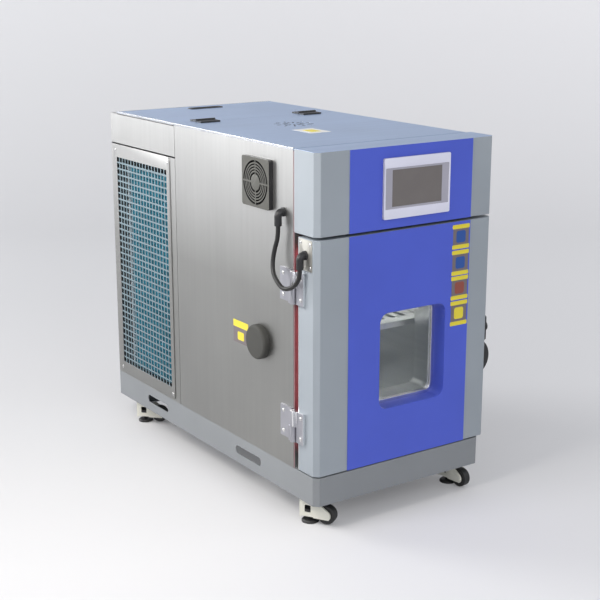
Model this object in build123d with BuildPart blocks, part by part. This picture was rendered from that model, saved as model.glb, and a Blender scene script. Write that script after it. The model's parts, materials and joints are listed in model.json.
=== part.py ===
from build123d import *
import math
import os

# An environmental test chamber on levelling casters. The row frame has +Z up and the front on -Y,
# with the floor at Z 0 and the origin under the middle of everything but the free door cable.
# All sizes are in millimetres. A "depth" is counted back from the door's face.

# Cabinet
cabinet_width = 524.0
cabinet_depth = 1040.0
cabinet_height = 860.0
sheet = 1.5
seam = 1.5
panel_return = 14.0
corner_cut = 12.0
cover_rise = 5.0

# Plinth
plinth_height = 73.0
plinth_wall = 2.0
corner_plate_side = 96.0
corner_plate_thickness = 3.0
plinth_slot_length = 122.0
plinth_slot_height = 22.0
plinth_slot_corner = 9.0
plinth_slot_front_inset = 305.0
plinth_slot_rear_inset = 243.0
plinth_slot_rise = 36.0

# Control head and door
fascia_overhang = 16.0
head_height = 196.0
head_wall = 2.0
head_wiring_margin = 24.0
blue_inset_left = 93.0
blue_width = 373.0
blue_proud = 2.0
door_thickness = 73.0
door_wall = 2.0
door_gap_top = 7.0
door_gap_bottom = 3.0

# Touch screen
screen_mid_inset = 289.0
screen_mid_drop = 100.0
bezel_width = 202.0
bezel_height = 145.0
bezel_proud = 6.0
bezel_corner = 4.0
bezel_recess_width = 193.0
bezel_recess_height = 98.0
bezel_recess_depth = 1.2
screen_body_width = 192.0
screen_body_height = 136.0
screen_body_depth = 34.0
screen_glass_width = 152.0
screen_glass_height = 88.0
screen_glass_drop = 0.6

# Window
window_mid_inset = 290.0
window_mid_rise = 334.5
window_width = 205.0
window_height = 244.0
window_corner = 25.0
window_recess = 41.0
window_frame_depth = 12.0
window_wall = 2.0
pane_thickness = 4.0
pane_overlap = 8.0

# Test space
test_width = 350.0
test_height = 400.0
liner_wall = 1.5
frame_thickness = 3.0
frame_inset = 1.0
frame_depth = 91.0
insulation_floor = 68.0
insulation_back = 78.0
insulation_rear_gap = 10.5
insulation_top = 84.0
plug_entry = 18.0
plug_clearance = 6.0
plug_corner = 10.0
inner_sheet = 1.5
blower_space = 110.0
baffle_thickness = 1.5
baffle_air_gap = 32.0
baffle_intake_circle = 44.0
baffle_intake_slots = 10
baffle_slot_length = 36.0
baffle_slot_width = 9.0
evaporator_width = 56.0
evaporator_height = 84.0
evaporator_rise = 30.0
evaporator_gap = 12.0
evaporator_fins = 15
fin_thickness = 1.5
evaporator_tube = 5.0
heater_ring = 96.0
heater_tube = 4.0
heater_leg = 3.0
heater_stand = 30.0

# Door gasket
gasket_margin_side = 14.0
gasket_margin_latch = 32.0
gasket_margin_end = 33.0
gasket_width = 22.0
gasket_corner = 16.0
gasket_free = 0.3

# Shelf
shelf_rise = 242.0
shelf_front_depth = 40.0
shelf_back_gap = 20.0
shelf_side_clearance = 3.0
shelf_flange = 15.0
shelf_sheet = 1.2
shelf_slots = 9
shelf_slot_width = 14.0
shelf_slot_margin = 32.0
shelf_slot_pitch = 34.0
rail_width = 12.0
rail_height = 8.0
rail_back_gap = 7.0

# Air circulation
impeller_radius = 75.0
impeller_hub_radius = 16.0
impeller_width = 34.0
impeller_disc = 2.0
impeller_blades = 12
impeller_back_gap = 14.0
impeller_blade_circle = 58.0
impeller_blade_length = 26.0
impeller_blade_angle = 50.0
impeller_hub_length = 30.0
shaft_radius = 5.0
shaft_clearance = 0.05
shaft_hole_clearance = 4.0
motor_radius = 42.0
motor_length = 92.0
motor_flange = 6.0
motor_plate_side = 110.0
motor_shaft_entry = 40.0

# Cable port
port_depth = 240.0
port_rise = 362.0
port_radius = 25.0
port_wall = 1.5
port_plug_radius = 44.0
port_plug_proud = 19.0
port_plug_stem = 45.0
port_plug_taper = 2.0
port_plug_clearance = 0.4
port_plug_gap = 0.2
port_plug_edge = 7.0
port_hole_clearance = 0.3

# Vent fan on the left side
vent_depth = 240.0
vent_rise = 762.0
vent_side = 121.0
vent_proud = 12.0
vent_corner = 6.0
vent_bore_radius = 54.0
vent_hub_radius = 20.0
vent_rings = 4
vent_ring_width = 3.6
vent_spoke_width = 4.0
vent_slat_depth = 4.0
fan_frame_side = 119.0
fan_frame_depth = 38.0
fan_rotor_radius = 51.0
fan_rotor_hub = 21.0
fan_rotor_length = 22.0
fan_rotor_gap = 0.5
fan_strut_depth = 6.0
fan_pin = 3.0
fan_pin_length = 18.0
fan_blades = 7
fan_blade_chord = 26.0
fan_blade_thickness = 2.0
fan_blade_pitch = 35.0

# Rear compartment
rear_length = 379.0
grille_seam_drop = 91.0
grille_seam = 4.0
grille_panel_inset = 17.0
grille_panel_width = 334.0
grille_panel_height = 689.0
grille_panel_rise = 4.0
grille_panel_corner = 12.0
cell_pitch = 17.8
cell_opening = 13.3
cell_columns = 17
cell_rows = 35
cell_field_rise = 34.6
grille_proud = 2.0
sheet_margin = 6.0
grille_sheet_thickness = 1.2
grille_bar_thickness = 1.0
louvre_length = 180.0
louvre_gap = 30.0
louvre_height = 7.0
louvre_pitch = 26.0
louvre_rows = 8
louvre_rise = 300.0

# Service lid
lid_rear_inset = 40.0
lid_gap = 0.3
lid_hinge_spacing = 332.0
lid_hinge_width = 60.0
lid_hinge_leaf = 25.0
lid_hinge_leaf_thickness = 4.0
lid_hinge_knuckle = 4.0
lid_hinge_pin = 2.0
lid_hinge_clearance = 0.4
lid_pin_clearance = 0.05
lid_pull_length = 108.0
lid_pull_width = 26.0
lid_pull_lip = 2.5
lid_pull_cup_length = 90.0
lid_pull_cup_width = 18.0
lid_pull_cup_depth = 16.0
lid_pull_wall = 1.6
lid_pull_corner = 6.0
lid_pull_inset = 95.0

# Vent slots in the top cover
top_vent_depth = 480.0
top_vent_radii = (24.0, 46.0)
top_vent_slots = 12
top_vent_slot_length = 15.0
top_vent_slot_width = 5.0

# Condenser and compressor
condenser_inset = 16.0
condenser_front_gap = 29.0
condenser_width = 283.0
condenser_height = 600.0
condenser_thickness = 58.0
condenser_rise = 34.0
condenser_plate = 2.0
condenser_flange = 15.0
condenser_fins = 22
condenser_tube = 5.0
condenser_shroud = 36.0
condenser_fan_radius = 125.0
condenser_fan_hub = 30.0
condenser_fan_clearance = 5.0
condenser_fan_blades = 5
condenser_blade_chord = 46.0
condenser_blade_pitch = 20.0
condenser_strut_width = 22.0
condenser_motor_length = 50.0
condenser_pin_length = 18.0
condenser_fan_rise = 300.0
compressor_radius = 74.0
compressor_height = 205.0
compressor_dome = 52.0
compressor_mid_inset = 360.0
compressor_rear_inset = 160.0
compressor_foot = 8.0
compressor_foot_radius = 12.0
compressor_foot_spacing = 110.0
compressor_plate_side = 142.0

# Control gear above the insulation
gear_plate_width = 400.0
gear_plate_length = 300.0
gear_plate_rear_inset = 70.5
gear_plate_thickness = 2.0
gear_unit_gap = 4.0
gear_rows = ((22.0, 60.0, 48.0, 12), (88.0, 70.0, 90.0, 3), (52.0, 80.0, 70.0, 5))

# Door hinges
hinge_rises = (188.0, 534.0)
hinge_height = 80.0
hinge_axis_out = 9.0
hinge_barrel = 8.0
hinge_pin = 4.0
hinge_cabinet_leaf = 50.0
hinge_cabinet_leaf_thickness = 5.0
hinge_door_leaf = 31.0
hinge_door_leaf_thickness = 8.0
hinge_clearance = 0.3
hinge_bore_clearance = 0.06

# Door cable
cable_radius = 5.5
connector_radius = 9.0
connector_out = 17.0
connector_socket_radius = 11.0
connector_socket = 5.0
connector_drop = 32.0
connector_bend = 10.0
cabinet_connector_depth = 133.0
cabinet_connector_rise = 706.0
door_connector_depth = 42.0
door_connector_rise = 618.0
door_plate_width = 52.0
door_plate_height = 74.0
door_plate_thickness = 1.2

# Door latch
latch_depth = 40.0
latch_rise = 360.0
latch_base_width = 46.0
latch_base_height = 66.0
latch_base_thickness = 10.0
latch_stub_radius = 6.0
latch_hub_radius = 14.0
latch_hub_thickness = 12.0
latch_tongue_length = 80.0
latch_tongue_width = 16.0
latch_tongue_thickness = 6.0
latch_grip_top_drop = 38.0
latch_grip_length = 82.0
latch_grip_width = 22.0
latch_grip_bulge = 22.0
latch_arm_thickness = 8.0
latch_base_edge = 1.5
latch_cap_lip = 3.0
latch_keeper_pin = 5.0
latch_keeper_setback = 10.0
latch_keeper_width = 20.0
latch_keeper_height = 34.0
latch_clearance = 0.4

# Levelling casters
caster_height = 70.0
caster_side_inset = 38.0
caster_front_inset = 76.0
caster_rear_inset = 88.0
caster_trail = 46.0
caster_neck_radius = 22.0
caster_cheek_radius = 14.0
caster_body_width = 34.0
caster_body_bottom = 16.0
caster_body_top = 60.0
caster_mouth_height = 44.0
caster_stem_radius = 8.0
caster_stem_clearance = 0.06
caster_nut_radius = 12.0
caster_nut_height = 6.0
caster_running_gap = 0.3
wheel_radius = 24.0
wheel_width = 21.0
wheel_lift = 2.0
wheel_clearance = 1.5
axle_radius = 4.0
axle_clearance = 0.06
foot_radius = 22.0
foot_pad_thickness = 7.0
foot_stem_radius = 6.0
foot_stem_top = 51.0
foot_stem_clearance = 0.06
foot_travel = 10.0
thumbwheel_radius = 18.0
thumbwheel_thickness = 7.0
thumbwheel_rise = 30.0
thumbwheel_clearance = 0.8
caster_turns = {"front_left": 31.0, "front_right": 6.0, "rear_left": 43.0, "rear_right": 18.0}

# The frame that every size above is placed in
latch_reach = latch_base_thickness + latch_clearance + latch_grip_bulge
fascia_width = cabinet_width + fascia_overhang
reach_left = max(hinge_axis_out + hinge_barrel, port_plug_proud + port_plug_gap, vent_proud)
overall_width = reach_left + fascia_width + latch_reach
overall_depth = blue_proud + bezel_proud + cabinet_depth
left = -overall_width / 2 + reach_left
right = left + cabinet_width
fascia_right = left + fascia_width
front = -overall_depth / 2 + blue_proud + bezel_proud
back = front + cabinet_depth
base = caster_height
deck = base + plinth_height
cover_top = base + cabinet_height
top = cover_top - cover_rise
head_bottom = cover_top - head_height
head_mid_z = (head_bottom + cover_top) / 2
door_bottom = deck + door_gap_bottom
door_top = head_bottom - door_gap_top
door_height = door_top - door_bottom
door_mid_z = (door_bottom + door_top) / 2
door_back = front + door_thickness
cabinet_mid_x = (left + right) / 2
cabinet_mid_y = (front + back) / 2
fascia_mid_x = (left + fascia_right) / 2
blue_mid_x = left + blue_inset_left + blue_width / 2
blue_face = front - blue_proud
frame_front = front + frame_depth
panels_front = frame_front + frame_thickness
rear_y = back - rear_length
test_mid_x = cabinet_mid_x
test_left = test_mid_x - test_width / 2
test_right = test_mid_x + test_width / 2
test_bottom = deck + insulation_floor
test_top = test_bottom + test_height
test_mid_z = test_bottom + test_height / 2
insulation_rear = rear_y - insulation_rear_gap
test_back = insulation_rear - insulation_back - liner_wall
insulation_ceiling = test_top + liner_wall + insulation_top
window_x = left + window_mid_inset
window_z = base + window_mid_rise
window_frame_front = front + window_recess
screen_x = left + screen_mid_inset
screen_z = cover_top - screen_mid_drop
port_y = front + port_depth
port_z = base + port_rise
vent_y = front + vent_depth
vent_z = base + vent_rise
hinge_x = left - hinge_axis_out
hinge_y = (door_back + frame_front) / 2
latch_y = front + latch_depth
latch_z = base + latch_rise


def side_plane(x):
    """A sketch plane across X, where local x is depth and local y is height."""
    return Plane.YZ.offset(x)


def front_plane(y):
    """A sketch plane across Y whose normal points to the front."""
    return Plane.XZ.offset(-y)


def level(z):
    """A sketch plane across Z."""
    return Plane.XY.offset(z)


def block(x0, x1, y0, y1, z0, z1, mode=Mode.ADD):
    """Adds or cuts a straight block between two corners, inside a part's own block."""
    with Locations(((x0 + x1) / 2, (y0 + y1) / 2, (z0 + z1) / 2)):
        Box(x1 - x0, y1 - y0, z1 - z0, mode=mode)


def keep(part, name):
    """Labels one finished piece and writes it out."""
    part.label = name
    export_step(part, f"parts/{name}.step")


os.makedirs("parts", exist_ok=True)

# Plinth: a folded skirt with a deck, open below, with a plate in each corner for a caster
caster_places = {
    "front_left": (left + caster_side_inset, front + caster_front_inset),
    "front_right": (right - caster_side_inset, front + caster_front_inset),
    "rear_left": (left + caster_side_inset, back - caster_rear_inset),
    "rear_right": (right - caster_side_inset, back - caster_rear_inset),
}
plinth_slot_ys = (front + plinth_slot_front_inset, back - plinth_slot_rear_inset)
with BuildPart() as plinth:
    with BuildSketch(level(base)) as skirt:
        with Locations((cabinet_mid_x, cabinet_mid_y)):
            Rectangle(cabinet_width, cabinet_depth)
        chamfer(skirt.vertices().group_by(Axis.Y)[0], corner_cut)
    extrude(amount=plinth_height)
    with BuildSketch(level(base + corner_plate_thickness)):
        add(skirt.sketch)
        offset(amount=-plinth_wall)
    extrude(amount=plinth_height - corner_plate_thickness - plinth_wall, mode=Mode.SUBTRACT)
    with BuildSketch(level(base)):
        add(skirt.sketch)
        offset(amount=-plinth_wall)
        with Locations(*caster_places.values()):
            Rectangle(corner_plate_side, corner_plate_side, mode=Mode.SUBTRACT)
    extrude(amount=corner_plate_thickness, mode=Mode.SUBTRACT)
    with BuildSketch(level(base)):
        with Locations(*caster_places.values()):
            Circle(caster_stem_radius + caster_stem_clearance)
    extrude(amount=corner_plate_thickness, mode=Mode.SUBTRACT)
    with BuildSketch(side_plane(left)):
        with Locations(*[(y, base + plinth_slot_rise) for y in plinth_slot_ys]):
            RectangleRounded(plinth_slot_length, plinth_slot_height, plinth_slot_corner)
    extrude(amount=cabinet_width, mode=Mode.SUBTRACT)
keep(plinth.part, "plinth")

# Front frame: the plate round the test space, which the head is fixed to and the door shuts on
with BuildPart() as front_frame:
    with BuildSketch(front_plane(panels_front)):
        with Locations((cabinet_mid_x, (deck + top) / 2)):
            Rectangle(cabinet_width - 2 * frame_inset, top - deck)
        with Locations((test_mid_x, test_mid_z)):
            Rectangle(test_width, test_height, mode=Mode.SUBTRACT)
        with Locations((cabinet_mid_x, head_mid_z)):
            Rectangle(test_width, head_height - 2 * head_wiring_margin, mode=Mode.SUBTRACT)
    extrude(amount=frame_thickness)
keep(front_frame.part, "front_frame")

# Side panels: sheets with their front and rear edges folded in
panel_length = rear_y - seam - panels_front
panel_mid_y = panels_front + panel_length / 2


def side_panel(face_x, inward):
    """One folded side sheet between the front frame and the rear casing."""
    with BuildPart() as panel:
        with BuildSketch(level(deck)):
            with Locations((face_x + inward * panel_return / 2, panel_mid_y)):
                Rectangle(panel_return, panel_length)
            with Locations((face_x + inward * (sheet + panel_return / 2), panel_mid_y)):
                Rectangle(panel_return, panel_length - 2 * sheet, mode=Mode.SUBTRACT)
        extrude(amount=top - deck)
        if inward > 0:
            with BuildSketch(side_plane(face_x)):
                with Locations((port_y, port_z)):
                    Circle(port_radius + port_wall + port_hole_clearance)
                with Locations((vent_y, vent_z)):
                    Circle(vent_bore_radius)
            extrude(amount=sheet, mode=Mode.SUBTRACT)
    return panel.part


keep(side_panel(left, 1), "left_side_panel")
keep(side_panel(right, -1), "right_side_panel")

# Rear casing: both rear sides, the back and a strip of the top, with an opening behind the grille
grille_mid_y = back - grille_panel_inset - grille_panel_width / 2
grille_bottom = deck + grille_panel_rise
grille_mid_z = grille_bottom + grille_panel_height / 2
field_width = cell_columns * cell_pitch - (cell_pitch - cell_opening)
field_height = cell_rows * cell_pitch - (cell_pitch - cell_opening)
field_mid_z = grille_bottom + cell_field_rise + field_height / 2
with BuildPart() as rear_casing:
    block(left, right, rear_y, back, deck, top)
    block(left + sheet, right - sheet, rear_y - seam, back - sheet, deck - seam, top - sheet,
          mode=Mode.SUBTRACT)
    block(left - seam, right + seam, rear_y - seam, back - lid_rear_inset, top - sheet, top + seam,
          mode=Mode.SUBTRACT)
    with BuildSketch(side_plane(left)):
        with Locations((grille_mid_y, field_mid_z)):
            Rectangle(field_width + 2 * sheet_margin + seam, field_height + 2 * sheet_margin + seam)
    extrude(amount=sheet, mode=Mode.SUBTRACT)
    with BuildSketch(side_plane(left)):
        with Locations(((rear_y + back) / 2, cover_top - grille_seam_drop)):
            Rectangle(back - rear_y, grille_seam)
    extrude(amount=sheet, mode=Mode.SUBTRACT)
    with BuildSketch(front_plane(back)):
        with Locations((cabinet_mid_x, deck + louvre_rise)):
            with GridLocations(louvre_length + louvre_gap, louvre_pitch, 2, louvre_rows):
                SlotOverall(louvre_length, louvre_height)
    extrude(amount=sheet, mode=Mode.SUBTRACT)
keep(rear_casing.part, "rear_casing")

# Grille: a screwed-on surround, a sheet of upright slots, and cross bars that make its cells
with BuildPart() as grille_surround:
    with BuildSketch(side_plane(left - grille_proud)) as surround:
        with Locations((grille_mid_y, grille_mid_z)):
            Rectangle(grille_panel_width, grille_panel_height)
        fillet(surround.vertices().group_by(Axis.Z)[-1], grille_panel_corner)
        with Locations((grille_mid_y, field_mid_z)):
            Rectangle(field_width, field_height, mode=Mode.SUBTRACT)
    extrude(amount=grille_proud)
keep(grille_surround.part, "grille_surround")

with BuildPart() as grille_sheet:
    with BuildSketch(side_plane(left)):
        with Locations((grille_mid_y, field_mid_z)):
            Rectangle(field_width + 2 * sheet_margin, field_height + 2 * sheet_margin)
            with GridLocations(cell_pitch, cell_pitch, cell_columns, 1):
                Rectangle(cell_opening, field_height, mode=Mode.SUBTRACT)
    extrude(amount=grille_sheet_thickness)
keep(grille_sheet.part, "grille_sheet")

with BuildPart() as grille_cross_bars:
    with BuildSketch(side_plane(left + grille_sheet_thickness)):
        with Locations((grille_mid_y, field_mid_z)):
            with GridLocations(cell_pitch, cell_pitch, 1, cell_rows - 1):
                Rectangle(field_width, cell_pitch - cell_opening)
    extrude(amount=grille_bar_thickness)
keep(grille_cross_bars.part, "grille_cross_bars")

# Top cover: a shallow tray with its edges turned down on the side panels
cover_rear = rear_y - seam / 2
with BuildPart() as top_cover:
    block(left, right, panels_front, cover_rear, top, cover_top)
    block(left + sheet, right - sheet, panels_front + sheet, cover_rear - sheet, top, cover_top - sheet,
          mode=Mode.SUBTRACT)
    for radius in top_vent_radii:
        with BuildSketch(level(cover_top - sheet)):
            with Locations((cabinet_mid_x, front + top_vent_depth)):
                with PolarLocations(radius, top_vent_slots):
                    SlotOverall(top_vent_slot_length, top_vent_slot_width)
        extrude(amount=sheet, mode=Mode.SUBTRACT)
keep(top_cover.part, "top_cover")

# Service lid over the machine compartment, its two hinges and its flush pull
lid_front = rear_y + seam / 2
lid_rear = back - lid_rear_inset + seam
lid_pull_y = back - lid_pull_inset
with BuildPart() as rear_lid:
    block(left, right, lid_front, lid_rear, top + lid_gap, cover_top)
    block(left + sheet, right - sheet, lid_front + sheet, lid_rear - sheet, top + lid_gap,
          cover_top - sheet, mode=Mode.SUBTRACT)
    with BuildSketch(level(cover_top - sheet)):
        with Locations((cabinet_mid_x, lid_pull_y)):
            RectangleRounded(lid_pull_cup_length, lid_pull_cup_width, lid_pull_corner)
    extrude(amount=sheet, mode=Mode.SUBTRACT)
keep(rear_lid.part, "rear_lid")

lid_axis_z = cover_top + lid_hinge_knuckle
lid_hinge_xs = (cabinet_mid_x - lid_hinge_spacing / 2, cabinet_mid_x + lid_hinge_spacing / 2)
knuckle_third = lid_hinge_width / 3
leaf_start = lid_hinge_knuckle + lid_hinge_clearance
with BuildPart() as lid_hinge_bases:
    for x in lid_hinge_xs:
        half = knuckle_third / 2 - lid_hinge_clearance
        block(x - lid_hinge_width / 2, x + lid_hinge_width / 2, rear_y - leaf_start - lid_hinge_leaf,
              rear_y - leaf_start, cover_top, cover_top + lid_hinge_leaf_thickness)
        block(x - half, x + half, rear_y - leaf_start, rear_y, cover_top, lid_axis_z)
        with BuildSketch(Plane.YZ.offset(x - half)):
            with Locations((rear_y, lid_axis_z)):
                Circle(lid_hinge_knuckle)
        extrude(amount=2 * half)
        with BuildSketch(Plane.YZ.offset(x - lid_hinge_width / 2)):
            with Locations((rear_y, lid_axis_z)):
                Circle(lid_hinge_pin)
        extrude(amount=lid_hinge_width)
keep(lid_hinge_bases.part, "lid_hinge_bases")

with BuildPart() as lid_hinge_leaves:
    for x in lid_hinge_xs:
        block(x - lid_hinge_width / 2, x + lid_hinge_width / 2, rear_y + leaf_start,
              rear_y + leaf_start + lid_hinge_leaf, cover_top, cover_top + lid_hinge_leaf_thickness)
        for start in (x - lid_hinge_width / 2, x + knuckle_third / 2):
            block(start, start + knuckle_third, rear_y, rear_y + leaf_start, cover_top, lid_axis_z)
            with BuildSketch(Plane.YZ.offset(start)):
                with Locations((rear_y, lid_axis_z)):
                    Circle(lid_hinge_knuckle)
            extrude(amount=knuckle_third)
        with BuildSketch(Plane.YZ.offset(x - lid_hinge_width / 2)):
            with Locations((rear_y, lid_axis_z)):
                Circle(lid_hinge_pin + lid_pin_clearance)
        extrude(amount=lid_hinge_width, mode=Mode.SUBTRACT)
keep(lid_hinge_leaves.part, "lid_hinge_leaves")

with BuildPart() as lid_handle:
    with BuildSketch(level(cover_top)):
        with Locations((cabinet_mid_x, lid_pull_y)):
            RectangleRounded(lid_pull_length, lid_pull_width, lid_pull_corner)
    extrude(amount=lid_pull_lip)
    fillet(lid_handle.faces().sort_by(Axis.Z)[-1].edges(), lid_pull_lip / 2)
    with BuildSketch(level(cover_top)):
        with Locations((cabinet_mid_x, lid_pull_y)):
            RectangleRounded(lid_pull_cup_length, lid_pull_cup_width, lid_pull_corner)
    extrude(amount=-lid_pull_cup_depth)
    with BuildSketch(level(cover_top + lid_pull_lip)):
        with Locations((cabinet_mid_x, lid_pull_y)):
            RectangleRounded(lid_pull_cup_length - 2 * lid_pull_wall,
                             lid_pull_cup_width - 2 * lid_pull_wall, lid_pull_corner - lid_pull_wall)
    extrude(amount=-(lid_pull_lip + lid_pull_cup_depth - lid_pull_wall), mode=Mode.SUBTRACT)
keep(lid_handle.part, "lid_handle")

# Control head: a hollow fascia on the front frame, with its blue panel and the touch screen
with BuildPart() as head_shell:
    with BuildSketch(level(head_bottom)) as head_plan:
        with Locations((fascia_mid_x, (front + frame_front) / 2)):
            Rectangle(fascia_width, frame_depth)
        chamfer(head_plan.vertices().group_by(Axis.Y)[0], corner_cut)
    extrude(amount=head_height)
    with BuildSketch(level(head_bottom + head_wall)):
        add(head_plan.sketch)
        offset(amount=-head_wall)
    extrude(amount=head_height - 2 * head_wall, mode=Mode.SUBTRACT)
    with BuildSketch(front_plane(frame_front)):
        with Locations((cabinet_mid_x, head_mid_z)):
            Rectangle(test_width, head_height - 2 * head_wiring_margin)
    extrude(amount=head_wall, mode=Mode.SUBTRACT)
    with BuildSketch(front_plane(front + head_wall)):
        with Locations((screen_x, screen_z)):
            Rectangle(screen_body_width, screen_body_height)
    extrude(amount=head_wall, mode=Mode.SUBTRACT)
keep(head_shell.part, "head_shell")

with BuildPart() as head_blue_panel:
    with BuildSketch(front_plane(front)):
        with Locations((blue_mid_x, head_mid_z)):
            Rectangle(blue_width, head_height)
        with Locations((screen_x, screen_z)):
            Rectangle(screen_body_width, screen_body_height, mode=Mode.SUBTRACT)
    extrude(amount=blue_proud)
keep(head_blue_panel.part, "head_blue_panel")

with BuildPart() as hmi_bezel:
    with BuildSketch(front_plane(blue_face)):
        with Locations((screen_x, screen_z)):
            RectangleRounded(bezel_width, bezel_height, bezel_corner)
    extrude(amount=bezel_proud)
    with BuildSketch(front_plane(blue_face - bezel_proud)):
        with Locations((screen_x, screen_z)):
            RectangleRounded(bezel_recess_width, bezel_recess_height, bezel_corner / 2)
    extrude(amount=-bezel_recess_depth, mode=Mode.SUBTRACT)
    with BuildSketch(front_plane(blue_face)):
        with Locations((screen_x, screen_z)):
            Rectangle(screen_glass_width, screen_glass_height)
    extrude(amount=bezel_proud, mode=Mode.SUBTRACT)
keep(hmi_bezel.part, "hmi_bezel")

with BuildPart() as hmi_screen:
    with BuildSketch(front_plane(blue_face)):
        with Locations((screen_x, screen_z)):
            Rectangle(screen_body_width, screen_body_height)
    extrude(amount=-screen_body_depth)
    with BuildSketch(front_plane(blue_face)):
        with Locations((screen_x, screen_z)):
            Rectangle(screen_glass_width, screen_glass_height)
    extrude(amount=bezel_proud - bezel_recess_depth - screen_glass_drop)
keep(hmi_screen.part, "hmi_screen")

# Test space: the stainless liner with its shelf rails and cable port
shelf_top = test_bottom + shelf_rise
rail_top = shelf_top - shelf_sheet
rail_front = panels_front + shelf_front_depth
baffle_y = test_back - blower_space
rail_back = baffle_y - rail_back_gap
shelf_back = baffle_y - shelf_back_gap
with BuildPart() as chamber_liner:
    block(test_left - liner_wall, test_right + liner_wall, panels_front, test_back + liner_wall,
          test_bottom - liner_wall, test_top + liner_wall)
    with BuildSketch(side_plane(left)):
        with Locations((port_y, port_z)):
            Circle(port_radius + port_wall)
    extrude(amount=test_left - left)
    block(test_left, test_right, panels_front - seam, test_back, test_bottom, test_top,
          mode=Mode.SUBTRACT)
    with BuildSketch(side_plane(left)):
        with Locations((port_y, port_z)):
            Circle(port_radius)
    extrude(amount=test_left - left, mode=Mode.SUBTRACT)
    block(test_left, test_left + rail_width, rail_front, rail_back,
          rail_top - rail_height, rail_top)
    block(test_right - rail_width, test_right, rail_front, rail_back,
          rail_top - rail_height, rail_top)
    with BuildSketch(front_plane(test_back + liner_wall)):
        with Locations((test_mid_x, test_mid_z)):
            Circle(shaft_radius + shaft_hole_clearance)
    extrude(amount=liner_wall, mode=Mode.SUBTRACT)
keep(chamber_liner.part, "chamber_liner")

with BuildPart() as insulation:
    block(left + sheet, right - sheet, panels_front + sheet, insulation_rear, deck, insulation_ceiling)
    block(test_left - liner_wall, test_right + liner_wall, panels_front, test_back + liner_wall,
          test_bottom - liner_wall, test_top + liner_wall, mode=Mode.SUBTRACT)
    with BuildSketch(side_plane(left)):
        with Locations((port_y, port_z)):
            Circle(port_radius + port_wall)
    extrude(amount=test_left - left, mode=Mode.SUBTRACT)
    with BuildSketch(front_plane(insulation_rear)):
        with Locations((test_mid_x, test_mid_z)):
            Circle(shaft_radius + shaft_hole_clearance)
    extrude(amount=insulation_back, mode=Mode.SUBTRACT)
keep(insulation.part, "insulation")

# Shelf: a slotted sheet with a turned-down front edge
with BuildPart() as shelf:
    block(test_left + shelf_side_clearance, test_right - shelf_side_clearance, rail_front,
          shelf_back, rail_top, shelf_top)
    block(test_left + rail_width + shelf_side_clearance, test_right - rail_width - shelf_side_clearance,
          rail_front, rail_front + shelf_sheet, shelf_top - shelf_flange, shelf_top)
    with BuildSketch(level(rail_top)):
        with Locations((test_mid_x, (rail_front + shelf_back) / 2)):
            with GridLocations(shelf_slot_pitch, 1, shelf_slots, 1):
                SlotOverall(shelf_back - rail_front - 2 * shelf_slot_margin, shelf_slot_width,
                            rotation=90)
    extrude(amount=shelf_sheet, mode=Mode.SUBTRACT)
keep(shelf.part, "shelf")

# Air circulation behind the baffle: cooling coil, heater ring, blower wheel and its motor
with BuildPart() as air_baffle:
    with BuildSketch(front_plane(baffle_y + baffle_thickness)):
        with Locations((test_mid_x, test_mid_z)):
            Rectangle(test_width, test_height - 2 * baffle_air_gap)
            with PolarLocations(baffle_intake_circle, baffle_intake_slots):
                SlotOverall(baffle_slot_length, baffle_slot_width, mode=Mode.SUBTRACT)
    extrude(amount=baffle_thickness)
keep(air_baffle.part, "air_baffle")

evaporator_start = baffle_y + baffle_thickness + evaporator_gap
evaporator_bottom = test_bottom + evaporator_rise
with BuildPart() as evaporator:
    with BuildSketch(level(evaporator_bottom)):
        with Locations((test_mid_x, evaporator_start + evaporator_width / 2)):
            Rectangle(test_width, evaporator_tube)
            with GridLocations((test_width - fin_thickness) / (evaporator_fins - 1), 1,
                               evaporator_fins, 1):
                Rectangle(fin_thickness, evaporator_width)
    extrude(amount=evaporator_height)
keep(evaporator.part, "evaporator")

with BuildPart() as heater:
    with BuildSketch(Plane.YZ.offset(test_mid_x)):
        with Locations((test_back - heater_stand, test_mid_z + heater_ring)):
            Circle(heater_tube)
    revolve(axis=Axis((test_mid_x, test_back, test_mid_z), (0, 1, 0)))
    with BuildSketch(front_plane(test_back)):
        with Locations((test_mid_x - heater_ring, test_mid_z), (test_mid_x + heater_ring, test_mid_z)):
            Circle(heater_leg)
    extrude(amount=heater_stand)
keep(heater.part, "heater")

impeller_back = test_back - impeller_back_gap
with BuildPart(front_plane(impeller_back)) as circulation_impeller:
    with BuildSketch(front_plane(impeller_back)):
        with Locations((test_mid_x, test_mid_z)):
            Circle(impeller_radius)
    extrude(amount=impeller_disc)
    with BuildSketch(front_plane(impeller_back - impeller_disc)):
        with Locations((test_mid_x, test_mid_z)):
            with PolarLocations(impeller_blade_circle, impeller_blades):
                Rectangle(impeller_blade_length, impeller_disc, rotation=impeller_blade_angle)
    extrude(amount=impeller_width)
    with BuildSketch(front_plane(impeller_back)):
        with Locations((test_mid_x, test_mid_z)):
            Circle(impeller_hub_radius)
    extrude(amount=impeller_hub_length)
    with BuildSketch(front_plane(impeller_back)):
        with Locations((test_mid_x, test_mid_z)):
            Circle(shaft_radius)
    extrude(amount=-(insulation_rear + motor_shaft_entry - impeller_back))
keep(circulation_impeller.part, "circulation_impeller")

with BuildPart() as circulation_motor:
    with BuildSketch(front_plane(insulation_rear)):
        with Locations((test_mid_x, test_mid_z)):
            RectangleRounded(motor_plate_side, motor_plate_side, motor_flange)
    extrude(amount=-motor_flange)
    with BuildSketch(front_plane(insulation_rear)):
        with Locations((test_mid_x, test_mid_z)):
            Circle(motor_radius)
    extrude(amount=-motor_length)
    fillet(circulation_motor.faces().sort_by(Axis.Y)[-1].edges(), motor_flange)
    with BuildSketch(front_plane(insulation_rear)):
        with Locations((test_mid_x, test_mid_z)):
            Circle(shaft_radius + shaft_clearance)
    extrude(amount=-(motor_shaft_entry + motor_flange), mode=Mode.SUBTRACT)
keep(circulation_motor.part, "circulation_motor")

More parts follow.
